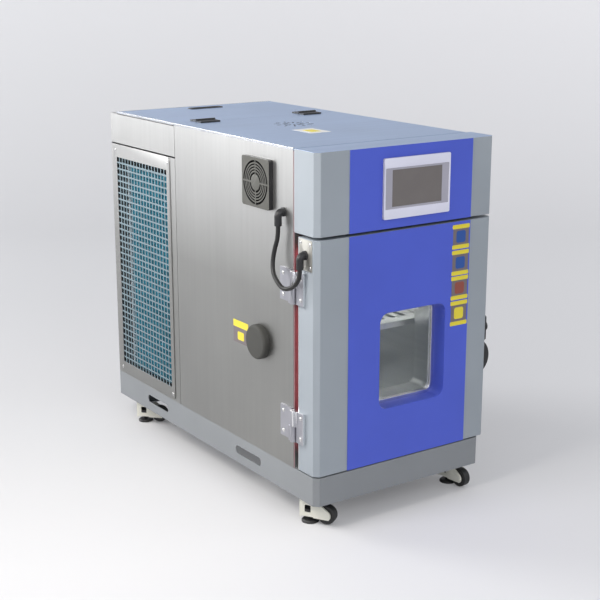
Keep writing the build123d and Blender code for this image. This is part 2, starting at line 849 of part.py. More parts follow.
# Cable port plug: a domed rubber cap with a tapered stem
with BuildPart() as port_plug:
    with BuildSketch(side_plane(left - port_plug_gap)):
        with Locations((port_y, port_z)):
            Circle(port_plug_radius)
    extrude(amount=-port_plug_proud)
    fillet(port_plug.faces().sort_by(Axis.X)[0].edges(), port_plug_edge)
    with BuildSketch(side_plane(left - port_plug_gap)):
        with Locations((port_y, port_z)):
            Circle(port_radius - port_plug_clearance)
    extrude(amount=port_plug_stem, taper=math.degrees(math.atan2(port_plug_taper, port_plug_stem)))
keep(port_plug.part, "port_plug")

# Vent on the left side: a slatted guard outside, a fan frame and its rotor inside
ring_step = (vent_bore_radius - vent_hub_radius) / (vent_rings + 1)
with BuildPart() as vent_guard:
    with BuildSketch(side_plane(left - vent_proud)):
        with Locations((vent_y, vent_z)):
            RectangleRounded(vent_side, vent_side, vent_corner)
            Circle(vent_bore_radius, mode=Mode.SUBTRACT)
    extrude(amount=vent_proud)
    with BuildSketch(side_plane(left - vent_proud)):
        with Locations((vent_y, vent_z)):
            Rectangle(2 * vent_bore_radius, vent_spoke_width)
            Rectangle(vent_spoke_width, 2 * vent_bore_radius)
            Circle(vent_hub_radius)
    extrude(amount=vent_slat_depth)
    for ring in range(vent_rings):
        ring_radius = vent_hub_radius + (ring + 1) * ring_step
        with BuildSketch(side_plane(left - vent_proud)):
            with Locations((vent_y, vent_z)):
                Circle(ring_radius + vent_ring_width / 2)
                Circle(ring_radius - vent_ring_width / 2, mode=Mode.SUBTRACT)
        extrude(amount=vent_slat_depth)
keep(vent_guard.part, "vent_guard")

fan_start = left + sheet
fan_strut = fan_start + fan_frame_depth - fan_strut_depth
with BuildPart() as vent_fan_housing:
    with BuildSketch(side_plane(fan_start)):
        with Locations((vent_y, vent_z)):
            RectangleRounded(fan_frame_side, fan_frame_side, vent_corner)
            Circle(vent_bore_radius, mode=Mode.SUBTRACT)
    extrude(amount=fan_frame_depth)
    with BuildSketch(side_plane(fan_strut)):
        with Locations((vent_y, vent_z)):
            Rectangle(2 * vent_bore_radius, 2 * vent_spoke_width)
            Rectangle(2 * vent_spoke_width, 2 * vent_bore_radius)
            Circle(fan_rotor_hub)
    extrude(amount=fan_strut_depth)
    with BuildSketch(side_plane(fan_strut)):
        with Locations((vent_y, vent_z)):
            Circle(fan_pin)
    extrude(amount=-fan_pin_length)
keep(vent_fan_housing.part, "vent_fan_housing")


def axial_rotor(start_x, hub_length, mid_y, mid_z, hub, tip, blades, chord, thickness, pitch, pin):
    """A fan rotor whose hub starts at one X and runs on a pin from its far end."""
    with BuildPart() as rotor:
        with BuildSketch(side_plane(start_x)):
            with Locations((mid_y, mid_z)):
                Circle(hub)
        extrude(amount=hub_length)
        blade_reach = tip - hub / 2
        with Locations(Plane.YZ.offset(start_x + hub_length / 2)):
            with Locations((mid_y, mid_z)):
                with PolarLocations(hub / 2 + blade_reach / 2, blades):
                    Box(blade_reach, chord, thickness, rotation=(pitch, 0, 0))
        with BuildSketch(side_plane(start_x + hub_length)):
            with Locations((mid_y, mid_z)):
                Circle(pin)
        extrude(amount=-(hub_length - thickness), mode=Mode.SUBTRACT)
    return rotor.part


keep(axial_rotor(fan_strut - fan_rotor_gap - fan_rotor_length, fan_rotor_length, vent_y, vent_z,
                 fan_rotor_hub, fan_rotor_radius, fan_blades, fan_blade_chord, fan_blade_thickness,
                 fan_blade_pitch, fan_pin + shaft_clearance), "vent_fan_rotor")

# Condenser behind the grille, its fan, and the compressor
condenser_x = left + condenser_inset
condenser_y = rear_y + condenser_front_gap
condenser_end = condenser_y + condenser_width
condenser_mid_y = (condenser_y + condenser_end) / 2
condenser_bottom = deck + condenser_rise
condenser_top = condenser_bottom + condenser_height
shroud_x = condenser_x + condenser_thickness
strut_x = shroud_x + condenser_shroud
condenser_fan_z = condenser_bottom + condenser_fan_rise
with BuildPart() as condenser_housing:
    block(condenser_x, strut_x, condenser_y, condenser_end, deck, condenser_top)
    block(condenser_x - seam, strut_x - condenser_plate, condenser_y + condenser_plate,
          condenser_end - condenser_plate, condenser_bottom + condenser_plate,
          condenser_top - condenser_plate, mode=Mode.SUBTRACT)
    block(condenser_x - seam, strut_x + seam, condenser_y + condenser_plate,
          condenser_end - condenser_plate, deck, condenser_bottom, mode=Mode.SUBTRACT)
    block(condenser_x - condenser_plate, condenser_x, condenser_end - condenser_flange, condenser_end,
          condenser_bottom, condenser_top)
    with BuildSketch(side_plane(strut_x - condenser_plate)):
        with Locations((condenser_mid_y, condenser_fan_z)):
            Circle(condenser_fan_radius + condenser_fan_clearance)
            Rectangle(2 * (condenser_fan_radius + condenser_fan_clearance),
                      condenser_strut_width, mode=Mode.SUBTRACT)
            Circle(condenser_fan_hub, mode=Mode.SUBTRACT)
    extrude(amount=condenser_plate, mode=Mode.SUBTRACT)
    with BuildSketch(side_plane(strut_x)):
        with Locations((condenser_mid_y, condenser_fan_z)):
            Circle(condenser_fan_hub)
    extrude(amount=condenser_motor_length)
    with BuildSketch(side_plane(strut_x)):
        with Locations((condenser_mid_y, condenser_fan_z)):
            Circle(shaft_radius)
    extrude(amount=-(condenser_plate + condenser_pin_length))
keep(condenser_housing.part, "condenser_housing")

with BuildPart() as condenser_core:
    with BuildSketch(level(condenser_bottom + condenser_plate)):
        with Locations((condenser_x + condenser_thickness / 2, condenser_mid_y)):
            Rectangle(condenser_tube, condenser_width - 2 * condenser_plate)
            with GridLocations(1, condenser_width / condenser_fins, 1, condenser_fins):
                Rectangle(condenser_thickness, fin_thickness)
    extrude(amount=condenser_height - 2 * condenser_plate)
keep(condenser_core.part, "condenser_fins")

keep(axial_rotor(strut_x - condenser_plate - fan_rotor_gap - fan_rotor_length, fan_rotor_length,
                 condenser_mid_y, condenser_fan_z, condenser_fan_hub, condenser_fan_radius,
                 condenser_fan_blades, condenser_blade_chord, fan_blade_thickness,
                 condenser_blade_pitch, shaft_radius + shaft_clearance), "condenser_fan_rotor")

compressor_x = left + compressor_mid_inset
compressor_y = back - compressor_rear_inset
with BuildPart() as compressor:
    with BuildSketch(level(deck + compressor_foot)):
        with Locations((compressor_x, compressor_y)):
            Circle(compressor_radius)
    extrude(amount=compressor_height)
    fillet(compressor.faces().sort_by(Axis.Z)[-1].edges(), compressor_dome)
    with BuildSketch(level(deck)):
        with Locations((compressor_x, compressor_y)):
            with GridLocations(compressor_foot_spacing, compressor_foot_spacing, 2, 2):
                Circle(compressor_foot_radius)
    extrude(amount=compressor_foot)
    with BuildSketch(level(deck + compressor_foot)):
        with Locations((compressor_x, compressor_y)):
            RectangleRounded(compressor_plate_side, compressor_plate_side, compressor_foot_radius)
    extrude(amount=condenser_plate)
keep(compressor.part, "compressor")

# Control gear on a plate above the insulation
gear_y = insulation_rear - gear_plate_rear_inset - gear_plate_length
gear_base = insulation_ceiling + gear_plate_thickness
with BuildPart() as control_plate:
    block(cabinet_mid_x - gear_plate_width / 2, cabinet_mid_x + gear_plate_width / 2, gear_y,
          gear_y + gear_plate_length, insulation_ceiling, gear_base)
    for row, (unit_width, unit_depth, unit_height, count) in enumerate(gear_rows):
        row_y = gear_y + (row + 0.5) * gear_plate_length / len(gear_rows)
        with BuildSketch(level(gear_base)):
            with Locations((cabinet_mid_x, row_y)):
                with GridLocations(unit_width + gear_unit_gap, 1, count, 1):
                    Rectangle(unit_width, unit_depth)
        extrude(amount=unit_height)
keep(control_plate.part, "control_plate")

# Door: an outer shell, its blue panel with the window recess, and the stainless inner panel
shell_back = door_back - inner_sheet
plug_rear = frame_front + plug_entry
with BuildPart() as door_shell:
    with BuildSketch(level(door_bottom)) as door_plan:
        with Locations((fascia_mid_x, (front + shell_back) / 2)):
            Rectangle(fascia_width, shell_back - front)
        chamfer(door_plan.vertices().group_by(Axis.Y)[0], corner_cut)
    extrude(amount=door_height)
    with BuildSketch(level(door_bottom + door_wall)):
        add(door_plan.sketch)
        offset(amount=-door_wall)
    extrude(amount=door_height - 2 * door_wall, mode=Mode.SUBTRACT)
    block(left + door_wall, fascia_right - door_wall, shell_back - 2 * door_wall, shell_back,
          door_bottom + door_wall, door_top - door_wall, mode=Mode.SUBTRACT)
    with BuildSketch(front_plane(front + door_wall)):
        with Locations((window_x, window_z)):
            RectangleRounded(window_width + 2 * window_wall, window_height + 2 * window_wall,
                             window_corner + window_wall)
    extrude(amount=door_wall, mode=Mode.SUBTRACT)
keep(door_shell.part, "door_shell")

with BuildPart() as door_blue_panel:
    with BuildSketch(front_plane(front)):
        with Locations((blue_mid_x, door_mid_z)):
            Rectangle(blue_width, door_height)
    extrude(amount=blue_proud)
    with BuildSketch(front_plane(window_frame_front)):
        with Locations((window_x, window_z)):
            RectangleRounded(window_width + 2 * window_wall, window_height + 2 * window_wall,
                             window_corner + window_wall)
    extrude(amount=window_recess)
    with BuildSketch(front_plane(window_frame_front)):
        with Locations((window_x, window_z)):
            RectangleRounded(window_width, window_height, window_corner)
    extrude(amount=window_recess + blue_proud, mode=Mode.SUBTRACT)
keep(door_blue_panel.part, "door_blue_panel")

frame_rear = window_frame_front + window_frame_depth
pane_front = window_frame_front + (window_frame_depth - pane_thickness) / 2
sight_width = window_width - 2 * pane_overlap
sight_height = window_height - 2 * pane_overlap
sight_corner = window_corner - pane_overlap
with BuildPart() as window_frame:
    with BuildSketch(front_plane(frame_rear)):
        with Locations((window_x, window_z)):
            RectangleRounded(window_width + 2 * window_wall, window_height + 2 * window_wall,
                             window_corner + window_wall)
            RectangleRounded(sight_width, sight_height, sight_corner, mode=Mode.SUBTRACT)
    extrude(amount=window_frame_depth)
    with BuildSketch(front_plane(pane_front + pane_thickness)):
        with Locations((window_x, window_z)):
            RectangleRounded(sight_width + pane_overlap, sight_height + pane_overlap,
                             sight_corner + pane_overlap / 2)
    extrude(amount=pane_thickness, mode=Mode.SUBTRACT)
keep(window_frame.part, "window_frame")

with BuildPart() as window_glass:
    with BuildSketch(front_plane(pane_front + pane_thickness)):
        with Locations((window_x, window_z)):
            RectangleRounded(sight_width + pane_overlap, sight_height + pane_overlap,
                             sight_corner + pane_overlap / 2)
    extrude(amount=pane_thickness)
    with BuildSketch(front_plane(plug_rear)):
        with Locations((window_x, window_z)):
            RectangleRounded(sight_width, sight_height, sight_corner)
    extrude(amount=pane_thickness)
keep(window_glass.part, "window_glass")

with BuildPart() as door_inner_panel:
    with BuildSketch(front_plane(door_back)):
        with Locations((fascia_mid_x, door_mid_z)):
            Rectangle(fascia_width, door_height)
    extrude(amount=inner_sheet)
    with BuildSketch(front_plane(plug_rear)):
        with Locations((test_mid_x, test_mid_z)):
            RectangleRounded(test_width - 2 * plug_clearance, test_height - 2 * plug_clearance,
                             plug_corner)
    extrude(amount=plug_rear - door_back)
    with BuildSketch(front_plane(plug_rear - inner_sheet)):
        with Locations((test_mid_x, test_mid_z)):
            RectangleRounded(test_width - 2 * (plug_clearance + inner_sheet),
                             test_height - 2 * (plug_clearance + inner_sheet), plug_corner - inner_sheet)
    extrude(amount=plug_rear - door_back, mode=Mode.SUBTRACT)
    with BuildSketch(front_plane(plug_rear)):
        with Locations((window_x, window_z)):
            RectangleRounded(sight_width + 2 * window_wall, sight_height + 2 * window_wall,
                             sight_corner + window_wall)
    extrude(amount=plug_rear - frame_rear)
    with BuildSketch(front_plane(plug_rear)):
        with Locations((window_x, window_z)):
            RectangleRounded(sight_width, sight_height, sight_corner)
    extrude(amount=plug_rear - frame_rear, mode=Mode.SUBTRACT)
keep(door_inner_panel.part, "door_inner_panel")

gasket_left = left + gasket_margin_side
gasket_right = fascia_right - gasket_margin_latch
gasket_height = door_height - 2 * gasket_margin_end
with BuildPart() as door_gasket:
    with BuildSketch(front_plane(frame_front - gasket_free)):
        with Locations(((gasket_left + gasket_right) / 2, door_mid_z)):
            RectangleRounded(gasket_right - gasket_left, gasket_height, gasket_corner)
            Rectangle(gasket_right - gasket_left - 2 * gasket_width, gasket_height - 2 * gasket_width,
                      mode=Mode.SUBTRACT)
    extrude(amount=frame_front - gasket_free - door_back)
keep(door_gasket.part, "door_gasket")

# Door hinges: a pinned lower knuckle on the cabinet and a lift-off upper knuckle on the door
hinge_zs = [base + rise for rise in hinge_rises]
with BuildPart() as hinge_cabinet_leaves:
    for z in hinge_zs:
        block(left - hinge_cabinet_leaf_thickness, left, panels_front + seam,
              panels_front + hinge_cabinet_leaf, z - hinge_height / 2, z + hinge_height / 2)
        block(hinge_x - hinge_pin, left, hinge_y, panels_front + 2 * seam,
              z - hinge_height / 2, z - hinge_clearance)
        with BuildSketch(level(z - hinge_height / 2)):
            with Locations((hinge_x, hinge_y)):
                Circle(hinge_barrel)
        extrude(amount=hinge_height / 2 - hinge_clearance)
        with BuildSketch(level(z - hinge_height / 2)):
            with Locations((hinge_x, hinge_y)):
                Circle(hinge_pin)
        extrude(amount=hinge_height - hinge_clearance)
keep(hinge_cabinet_leaves.part, "hinge_cabinet_leaves")

with BuildPart() as hinge_door_leaves:
    for z in hinge_zs:
        block(left - hinge_door_leaf_thickness, left, door_back - hinge_door_leaf, door_back,
              z - hinge_height / 2, z + hinge_height / 2)
        block(hinge_x - hinge_pin, left, door_back - hinge_pin, hinge_y, z, z + hinge_height / 2)
        with BuildSketch(level(z)):
            with Locations((hinge_x, hinge_y)):
                Circle(hinge_barrel)
        extrude(amount=hinge_height / 2)
        with BuildSketch(level(z)):
            with Locations((hinge_x, hinge_y)):
                Circle(hinge_pin + hinge_bore_clearance)
        extrude(amount=hinge_height / 2, mode=Mode.SUBTRACT)
keep(hinge_door_leaves.part, "hinge_door_leaves")


# Door cable: two elbow connectors and the limp cable that hangs between them
def elbow(face_x, y, z):
    """An elbow connector on a face across X that turns the cable down, with its socket ring."""
    bend_x = left - connector_out
    with BuildPart() as connector:
        with BuildLine():
            FilletPolyline((face_x, y, z), (bend_x, y, z), (bend_x, y, z - connector_drop),
                           radius=connector_bend)
        with BuildSketch(side_plane(face_x)):
            with Locations((y, z)):
                Circle(connector_radius)
        sweep()
        with BuildSketch(side_plane(face_x)):
            with Locations((y, z)):
                Circle(connector_socket_radius)
        extrude(amount=-connector_socket)
    return connector.part


cabinet_connector_y = front + cabinet_connector_depth
cabinet_connector_z = base + cabinet_connector_rise
door_connector_y = front + door_connector_depth
door_connector_z = base + door_connector_rise
keep(elbow(left, cabinet_connector_y, cabinet_connector_z), "cabinet_connector")

with BuildPart() as door_connector:
    with BuildSketch(side_plane(left - door_plate_thickness)):
        with Locations((door_connector_y, door_connector_z)):
            Rectangle(door_plate_width, door_plate_height)
    extrude(amount=door_plate_thickness)
    add(elbow(left - door_plate_thickness, door_connector_y, door_connector_z))
keep(door_connector.part, "door_connector")

# Each point is how far out from the left side, how deep, and how high above the plinth's underside
cable_route = [
    (connector_out, cabinet_connector_depth, cabinet_connector_rise - connector_drop),
    (connector_out, cabinet_connector_depth, 648.0),
    (20.0, 142.0, 621.0),
    (24.0, 146.0, 591.0),
    (30.0, 137.0, 562.0),
    (33.0, 112.0, 543.0),
    (33.0, 86.0, 531.0),
    (28.0, 56.0, 541.0),
    (22.0, 44.0, 556.0),
    (connector_out, door_connector_depth, 574.0),
    (connector_out, door_connector_depth, door_connector_rise - connector_drop),
]
route = [Vector(left - out, front + depth, base + rise) for out, depth, rise in cable_route]
cable_radii = []
for before, corner, after in zip(route, route[1:], route[2:]):
    run_in = corner - before
    run_out = after - corner
    half_turn = math.radians(run_in.get_angle(run_out)) / 2
    cable_radii.append(0.45 * min(run_in.length, run_out.length) / math.tan(half_turn))
print("cable radii in diameters", [round(r / (2 * cable_radius), 1) for r in cable_radii])
with BuildPart() as door_cable:
    with BuildLine() as cable_path:
        FilletPolyline(*route, radius=cable_radii)
    with BuildSketch(Plane(origin=route[0], z_dir=(route[1] - route[0]))):
        Circle(cable_radius)
    sweep()
cable_length = sum(edge.length for edge in cable_path.edges())
print("cable length", round(cable_length), "volume over section times length",
      round(door_cable.part.volume / (math.pi * cable_radius**2 * cable_length), 4))
keep(door_cable.part, "door_cable")

# Door latch: a base with a stub, a turning lever, and a keeper with a roller on the cabinet
lever_x = fascia_right + latch_base_thickness + latch_clearance
tongue_x = lever_x + (latch_hub_thickness - latch_tongue_thickness) / 2
with BuildPart() as latch_base:
    with BuildSketch(side_plane(fascia_right)):
        with Locations((latch_y, latch_z)):
            RectangleRounded(latch_base_width, latch_base_height, latch_stub_radius)
    extrude(amount=latch_base_thickness)
    fillet(latch_base.faces().sort_by(Axis.X)[-1].edges(), latch_base_edge)
    with BuildSketch(side_plane(fascia_right)):
        with Locations((latch_y, latch_z)):
            Circle(latch_stub_radius)
    extrude(amount=latch_base_thickness + 2 * latch_clearance + latch_hub_thickness)
    with BuildSketch(side_plane(lever_x + latch_clearance + latch_hub_thickness)):
        with Locations((latch_y, latch_z)):
            Circle(latch_stub_radius + latch_cap_lip)
    extrude(amount=latch_cap_lip)
keep(latch_base.part, "latch_base")

with BuildPart() as latch_lever:
    with BuildSketch(side_plane(lever_x)):
        with Locations((latch_y, latch_z)):
            Circle(latch_hub_radius)
    extrude(amount=latch_hub_thickness)
    block(lever_x, lever_x + latch_arm_thickness, latch_y - latch_tongue_width / 2,
          latch_y + latch_tongue_width / 2, latch_z - latch_grip_top_drop - latch_grip_bulge / 2, latch_z)
    block(tongue_x, tongue_x + latch_tongue_thickness, latch_y, latch_y + latch_tongue_length,
          latch_z - latch_tongue_width / 2, latch_z + latch_tongue_width / 2)
    with BuildSketch(front_plane(latch_y + latch_grip_width / 2)):
        with BuildLine():
            ThreePointArc((lever_x, latch_z - latch_grip_top_drop),
                          (lever_x + latch_grip_bulge,
                           latch_z - latch_grip_top_drop - latch_grip_length / 2),
                          (lever_x, latch_z - latch_grip_top_drop - latch_grip_length))
            Line((lever_x, latch_z - latch_grip_top_drop - latch_grip_length),
                 (lever_x, latch_z - latch_grip_top_drop))
        make_face()
    extrude(amount=latch_grip_width)
    with BuildSketch(side_plane(lever_x)):
        with Locations((latch_y, latch_z)):
            Circle(latch_stub_radius + hinge_bore_clearance)
    extrude(amount=latch_hub_thickness, mode=Mode.SUBTRACT)
keep(latch_lever.part, "latch_lever")

keeper_y = latch_y + latch_tongue_length - latch_keeper_setback
keeper_z = latch_z + latch_tongue_width / 2 + latch_clearance + latch_keeper_pin
with BuildPart() as latch_keeper:
    with BuildSketch(side_plane(right)):
        with Locations((keeper_y, keeper_z)):
            RectangleRounded(latch_keeper_width, latch_keeper_height, latch_keeper_pin / 2)
    extrude(amount=latch_base_thickness)
    with BuildSketch(side_plane(right)):
        with Locations((keeper_y, keeper_z)):
            Circle(latch_keeper_pin)
    extrude(amount=tongue_x + latch_tongue_thickness + seam - right)
keep(latch_keeper.part, "latch_keeper")

# Levelling casters: a turning body on a stem, a wheel held just off the floor, and a screw foot
wheel_z = wheel_lift + wheel_radius
body_top = base - caster_running_gap
pocket_bottom = thumbwheel_rise - thumbwheel_clearance
pocket_top = thumbwheel_rise + thumbwheel_thickness + foot_travel + thumbwheel_clearance
for name, (x, y) in caster_places.items():
    turn = math.radians(caster_turns[name])
    ahead = Vector(math.sin(turn), -math.cos(turn), 0)
    floor = Plane(origin=(x, y, 0), x_dir=ahead, z_dir=(0, 0, 1))
    across = Plane(origin=(x, y, 0), x_dir=ahead, z_dir=ahead.cross(Vector(0, 0, 1)))
    with BuildPart() as caster:
        with BuildSketch(across):
            with BuildLine():
                cheek = CenterArc((caster_trail, wheel_z), caster_cheek_radius, 0, 360)
                shoulder = Polyline((-caster_neck_radius, caster_body_bottom),
                                    (-caster_neck_radius, caster_body_top),
                                    (caster_neck_radius, caster_body_top))
            make_hull()
            Rectangle(2 * (caster_trail + caster_cheek_radius), 2 * caster_body_bottom,
                      mode=Mode.SUBTRACT)
        extrude(amount=caster_body_width / 2, both=True)
        with BuildSketch(floor.offset(caster_body_top - caster_neck_radius / 2)):
            Circle(caster_body_width / 2)
        extrude(amount=body_top - caster_body_top + caster_neck_radius / 2)
        with BuildSketch(floor.offset(body_top)):
            Circle(caster_stem_radius)
        extrude(amount=caster_running_gap + corner_plate_thickness + caster_running_gap)
        with BuildSketch(floor.offset(base + corner_plate_thickness + caster_running_gap)):
            Circle(caster_nut_radius)
        extrude(amount=caster_nut_height)
        with BuildSketch(across):
            with Locations((caster_trail, wheel_z)):
                Circle(wheel_radius + wheel_clearance)
            with Locations((caster_trail + caster_cheek_radius, caster_mouth_height / 2)):
                Rectangle(2 * caster_cheek_radius, caster_mouth_height)
        extrude(amount=wheel_width / 2 + wheel_clearance, both=True, mode=Mode.SUBTRACT)
        with BuildSketch(across):
            with Locations((caster_trail, wheel_z)):
                Circle(axle_radius)
        extrude(amount=caster_body_width / 2, both=True)
        with BuildSketch(floor.offset(pocket_bottom)):
            Circle(thumbwheel_radius + thumbwheel_clearance)
        extrude(amount=pocket_top - pocket_bottom, mode=Mode.SUBTRACT)
        with BuildSketch(floor.offset(caster_body_bottom)):
            Circle(foot_stem_radius + foot_stem_clearance)
        extrude(amount=foot_stem_top + foot_travel + thumbwheel_clearance - caster_body_bottom,
                mode=Mode.SUBTRACT)
        with BuildSketch(floor.offset(caster_body_bottom)):
            Circle(foot_radius + thumbwheel_clearance)
        extrude(amount=foot_pad_thickness + foot_travel + thumbwheel_clearance - caster_body_bottom,
                mode=Mode.SUBTRACT)
    keep(caster.part, f"{name}_caster_body")

    with BuildPart() as wheel:
        with BuildSketch(across):
            with Locations((caster_trail, wheel_z)):
                Circle(wheel_radius)
                Circle(axle_radius + axle_clearance, mode=Mode.SUBTRACT)
        extrude(amount=wheel_width / 2, both=True)
    keep(wheel.part, f"{name}_caster_wheel")

    with BuildPart() as foot:
        with BuildSketch(floor):
            Circle(foot_radius)
        extrude(amount=foot_pad_thickness)
        chamfer(foot.faces().sort_by(Axis.Z)[-1].edges(), foot_pad_thickness / 2)
        with BuildSketch(floor):
            Circle(foot_stem_radius)
        extrude(amount=foot_stem_top)
        with BuildSketch(floor.offset(thumbwheel_rise)):
            Circle(thumbwheel_radius)
        extrude(amount=thumbwheel_thickness)
    keep(foot.part, f"{name}_levelling_foot")
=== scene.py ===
import bmesh
import bpy
import json
import math
from mathutils import Matrix, Vector


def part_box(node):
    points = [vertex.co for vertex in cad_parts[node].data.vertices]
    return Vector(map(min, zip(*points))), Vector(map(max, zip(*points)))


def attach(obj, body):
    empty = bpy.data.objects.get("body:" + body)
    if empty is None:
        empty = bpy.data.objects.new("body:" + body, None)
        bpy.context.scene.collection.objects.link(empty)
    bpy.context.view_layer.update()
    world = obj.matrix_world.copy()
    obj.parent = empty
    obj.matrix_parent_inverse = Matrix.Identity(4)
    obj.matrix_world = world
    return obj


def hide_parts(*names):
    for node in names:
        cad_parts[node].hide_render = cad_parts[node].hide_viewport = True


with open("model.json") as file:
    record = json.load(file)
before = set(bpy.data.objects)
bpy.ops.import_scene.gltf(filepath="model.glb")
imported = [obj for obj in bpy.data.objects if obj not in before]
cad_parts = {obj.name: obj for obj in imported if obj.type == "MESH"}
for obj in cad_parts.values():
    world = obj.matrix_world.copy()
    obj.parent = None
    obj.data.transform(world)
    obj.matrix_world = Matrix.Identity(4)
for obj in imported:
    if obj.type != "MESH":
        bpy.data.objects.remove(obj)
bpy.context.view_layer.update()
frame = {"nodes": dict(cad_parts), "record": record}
record = frame["record"]
nodeBody = {}
for bodyName, nodeNames in record["behaviour"]["bodies"].items():
    for nodeName in nodeNames:
        nodeBody[nodeName] = bodyName
print("frame loaded,", len(nodeBody), "nodes")


def low(node):
    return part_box(node)[0]


def high(node):
    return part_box(node)[1]


# where the cabinet stands, in metres
leftX = low("plinth")[0]
rightX = high("plinth")[0]
frontY = low("plinth")[1]
baseZ = low("plinth")[2]
topZ = high("head_shell")[2]
midX = (leftX + rightX) / 2
blueFaceY = low("door_blue_panel")[1]


# camera, solved from the cabinet's edges in the photograph
camera = {"lens": 76.645, "fromLeft": -1.6377, "fromFront": -2.3362, "fromBase": 1.2719,
          "yaw": 34.283, "pitch": 14.767}


def addCamera():
    data = bpy.data.cameras.new("photoCamera")
    data.lens = camera["lens"]
    data.sensor_width = 36
    obj = bpy.data.objects.new("photoCamera", data)
    obj.location = (leftX + camera["fromLeft"], frontY + camera["fromFront"], baseZ + camera["fromBase"])
    yaw = math.radians(camera["yaw"])
    pitch = math.radians(camera["pitch"])
    forward = Vector((math.sin(yaw) * math.cos(pitch), math.cos(yaw) * math.cos(pitch), -math.sin(pitch)))
    obj.rotation_euler = forward.to_track_quat("-Z", "Y").to_euler()
    bpy.context.collection.objects.link(obj)
    bpy.context.scene.camera = obj
    return obj


addCamera()


# material helpers
def newMaterial(name, color, roughness, metallic=0.0):
    mat = bpy.data.materials.new(name)
    mat.use_nodes = True
    shader = mat.node_tree.nodes["Principled BSDF"]
    shader.inputs["Base Color"].default_value = (*color, 1)
    shader.inputs["Roughness"].default_value = roughness
    shader.inputs["Metallic"].default_value = metallic
    return mat, mat.node_tree.nodes, mat.node_tree.links, shader


def objectNoise(nodes, links, scale, stretch=(1, 1, 1), detail=3.0, distortion=0.0):
    coords = nodes.new("ShaderNodeTexCoord")
    mapping = nodes.new("ShaderNodeMapping")
    mapping.inputs["Scale"].default_value = stretch
    noise = nodes.new("ShaderNodeTexNoise")
    noise.inputs["Scale"].default_value = scale
    noise.inputs["Detail"].default_value = detail
    noise.inputs["Distortion"].default_value = distortion
    links.new(coords.outputs["Object"], mapping.inputs["Vector"])
    links.new(mapping.outputs["Vector"], noise.inputs["Vector"])
    return noise


def ramp(nodes, links, source, stops):
    node = nodes.new("ShaderNodeValToRGB")
    while len(node.color_ramp.elements) < len(stops):
        node.color_ramp.elements.new(0.5)
    for element, (position, color) in zip(node.color_ramp.elements, stops):
        element.position = position
        element.color = (*color, 1) if len(color) == 3 else color
    links.new(source, node.inputs["Fac"])
    return node


def mixColor(nodes, links, factor, first, second, blend="MIX"):
    node = nodes.new("ShaderNodeMix")
    node.data_type = "RGBA"
    node.blend_type = blend
    for value, socket in ((factor, node.inputs["Factor"]), (first, node.inputs[6]), (second, node.inputs[7])):
        if isinstance(value, (int, float)):
            socket.default_value = value
        elif isinstance(value, tuple):
            socket.default_value = (*value, 1)
        else:
            links.new(value, socket)
    return node.outputs[2]


def addBump(nodes, links, shader, height, strength, distance):
    bump = nodes.new("ShaderNodeBump")
    bump.inputs["Strength"].default_value = strength
    bump.inputs["Distance"].default_value = distance
    links.new(height, bump.inputs["Height"])
    links.new(bump.outputs["Normal"], shader.inputs["Normal"])


# darker low down and near-white at the top: painted shade and painted highlight along the side's height, for
# how the light falls
sidePaintedLight = {"lowShadeEnds": 0.58, "middle": 0.80, "middleShade": (0.80, 0.80, 0.80), "topHighlight": (0.97, 0.97, 0.97)}


def brushedSteel(name, bright, dull, roughness, grain, lowZ=None, highZ=None, lowShade=(0.62, 0.62, 0.61)):
    mat, nodes, links, shader = newMaterial(name, bright, roughness, 1.0)
    fine = objectNoise(nodes, links, 60, grain, 4.0)
    wide = objectNoise(nodes, links, 3.0, (1, 1, 1), 2.0)
    tone = ramp(nodes, links, fine.outputs["Fac"], ((0.3, dull), (0.7, bright)))
    cloud = ramp(nodes, links, wide.outputs["Fac"], ((0.35, (0.93, 0.93, 0.93)), (0.65, (1.0, 1.0, 1.0))))
    color = mixColor(nodes, links, 1.0, tone.outputs["Color"], cloud.outputs["Color"], "MULTIPLY")
    # with lowZ and highZ given, the colour is multiplied by a ramp along the height, darker below and
    # near-white at the top: painted shade and painted highlight
    if lowZ is not None:
        coords = nodes.new("ShaderNodeTexCoord")
        split = nodes.new("ShaderNodeSeparateXYZ")
        links.new(coords.outputs["Object"], split.inputs["Vector"])
        span = nodes.new("ShaderNodeMapRange")
        span.inputs["From Min"].default_value = lowZ
        span.inputs["From Max"].default_value = highZ
        links.new(split.outputs["Z"], span.inputs["Value"])
        paintedLight = ramp(nodes, links, span.outputs["Result"],
                    ((0.0, lowShade), (sidePaintedLight["lowShadeEnds"], lowShade),
                     (sidePaintedLight["middle"], sidePaintedLight["middleShade"]), (1.0, sidePaintedLight["topHighlight"])))
        color = mixColor(nodes, links, 1.0, color, paintedLight.outputs["Color"], "MULTIPLY")
    links.new(color, shader.inputs["Base Color"])
    rough = nodes.new("ShaderNodeMapRange")
    rough.inputs["To Min"].default_value = roughness - 0.06
    rough.inputs["To Max"].default_value = roughness + 0.06
    links.new(fine.outputs["Fac"], rough.inputs["Value"])
    links.new(rough.outputs["Result"], shader.inputs["Roughness"])
    addBump(nodes, links, shader, fine.outputs["Fac"], 0.05, 0.0002)
    return mat


def powderCoat(name, color, roughness=0.42, peel=0.25, mottle=0.06):
    mat, nodes, links, shader = newMaterial(name, color, roughness)
    shader.inputs["Specular IOR Level"].default_value = 0.45
    peelNoise = objectNoise(nodes, links, 900, (1, 1, 1), 2.0)
    wide = objectNoise(nodes, links, 5.0, (1, 1, 1), 3.0)
    dark = tuple(c * (1 - mottle) for c in color)
    tone = ramp(nodes, links, wide.outputs["Fac"], ((0.35, dark), (0.65, color)))
    links.new(tone.outputs["Color"], shader.inputs["Base Color"])
    addBump(nodes, links, shader, peelNoise.outputs["Fac"], peel, 0.0001)
    return mat


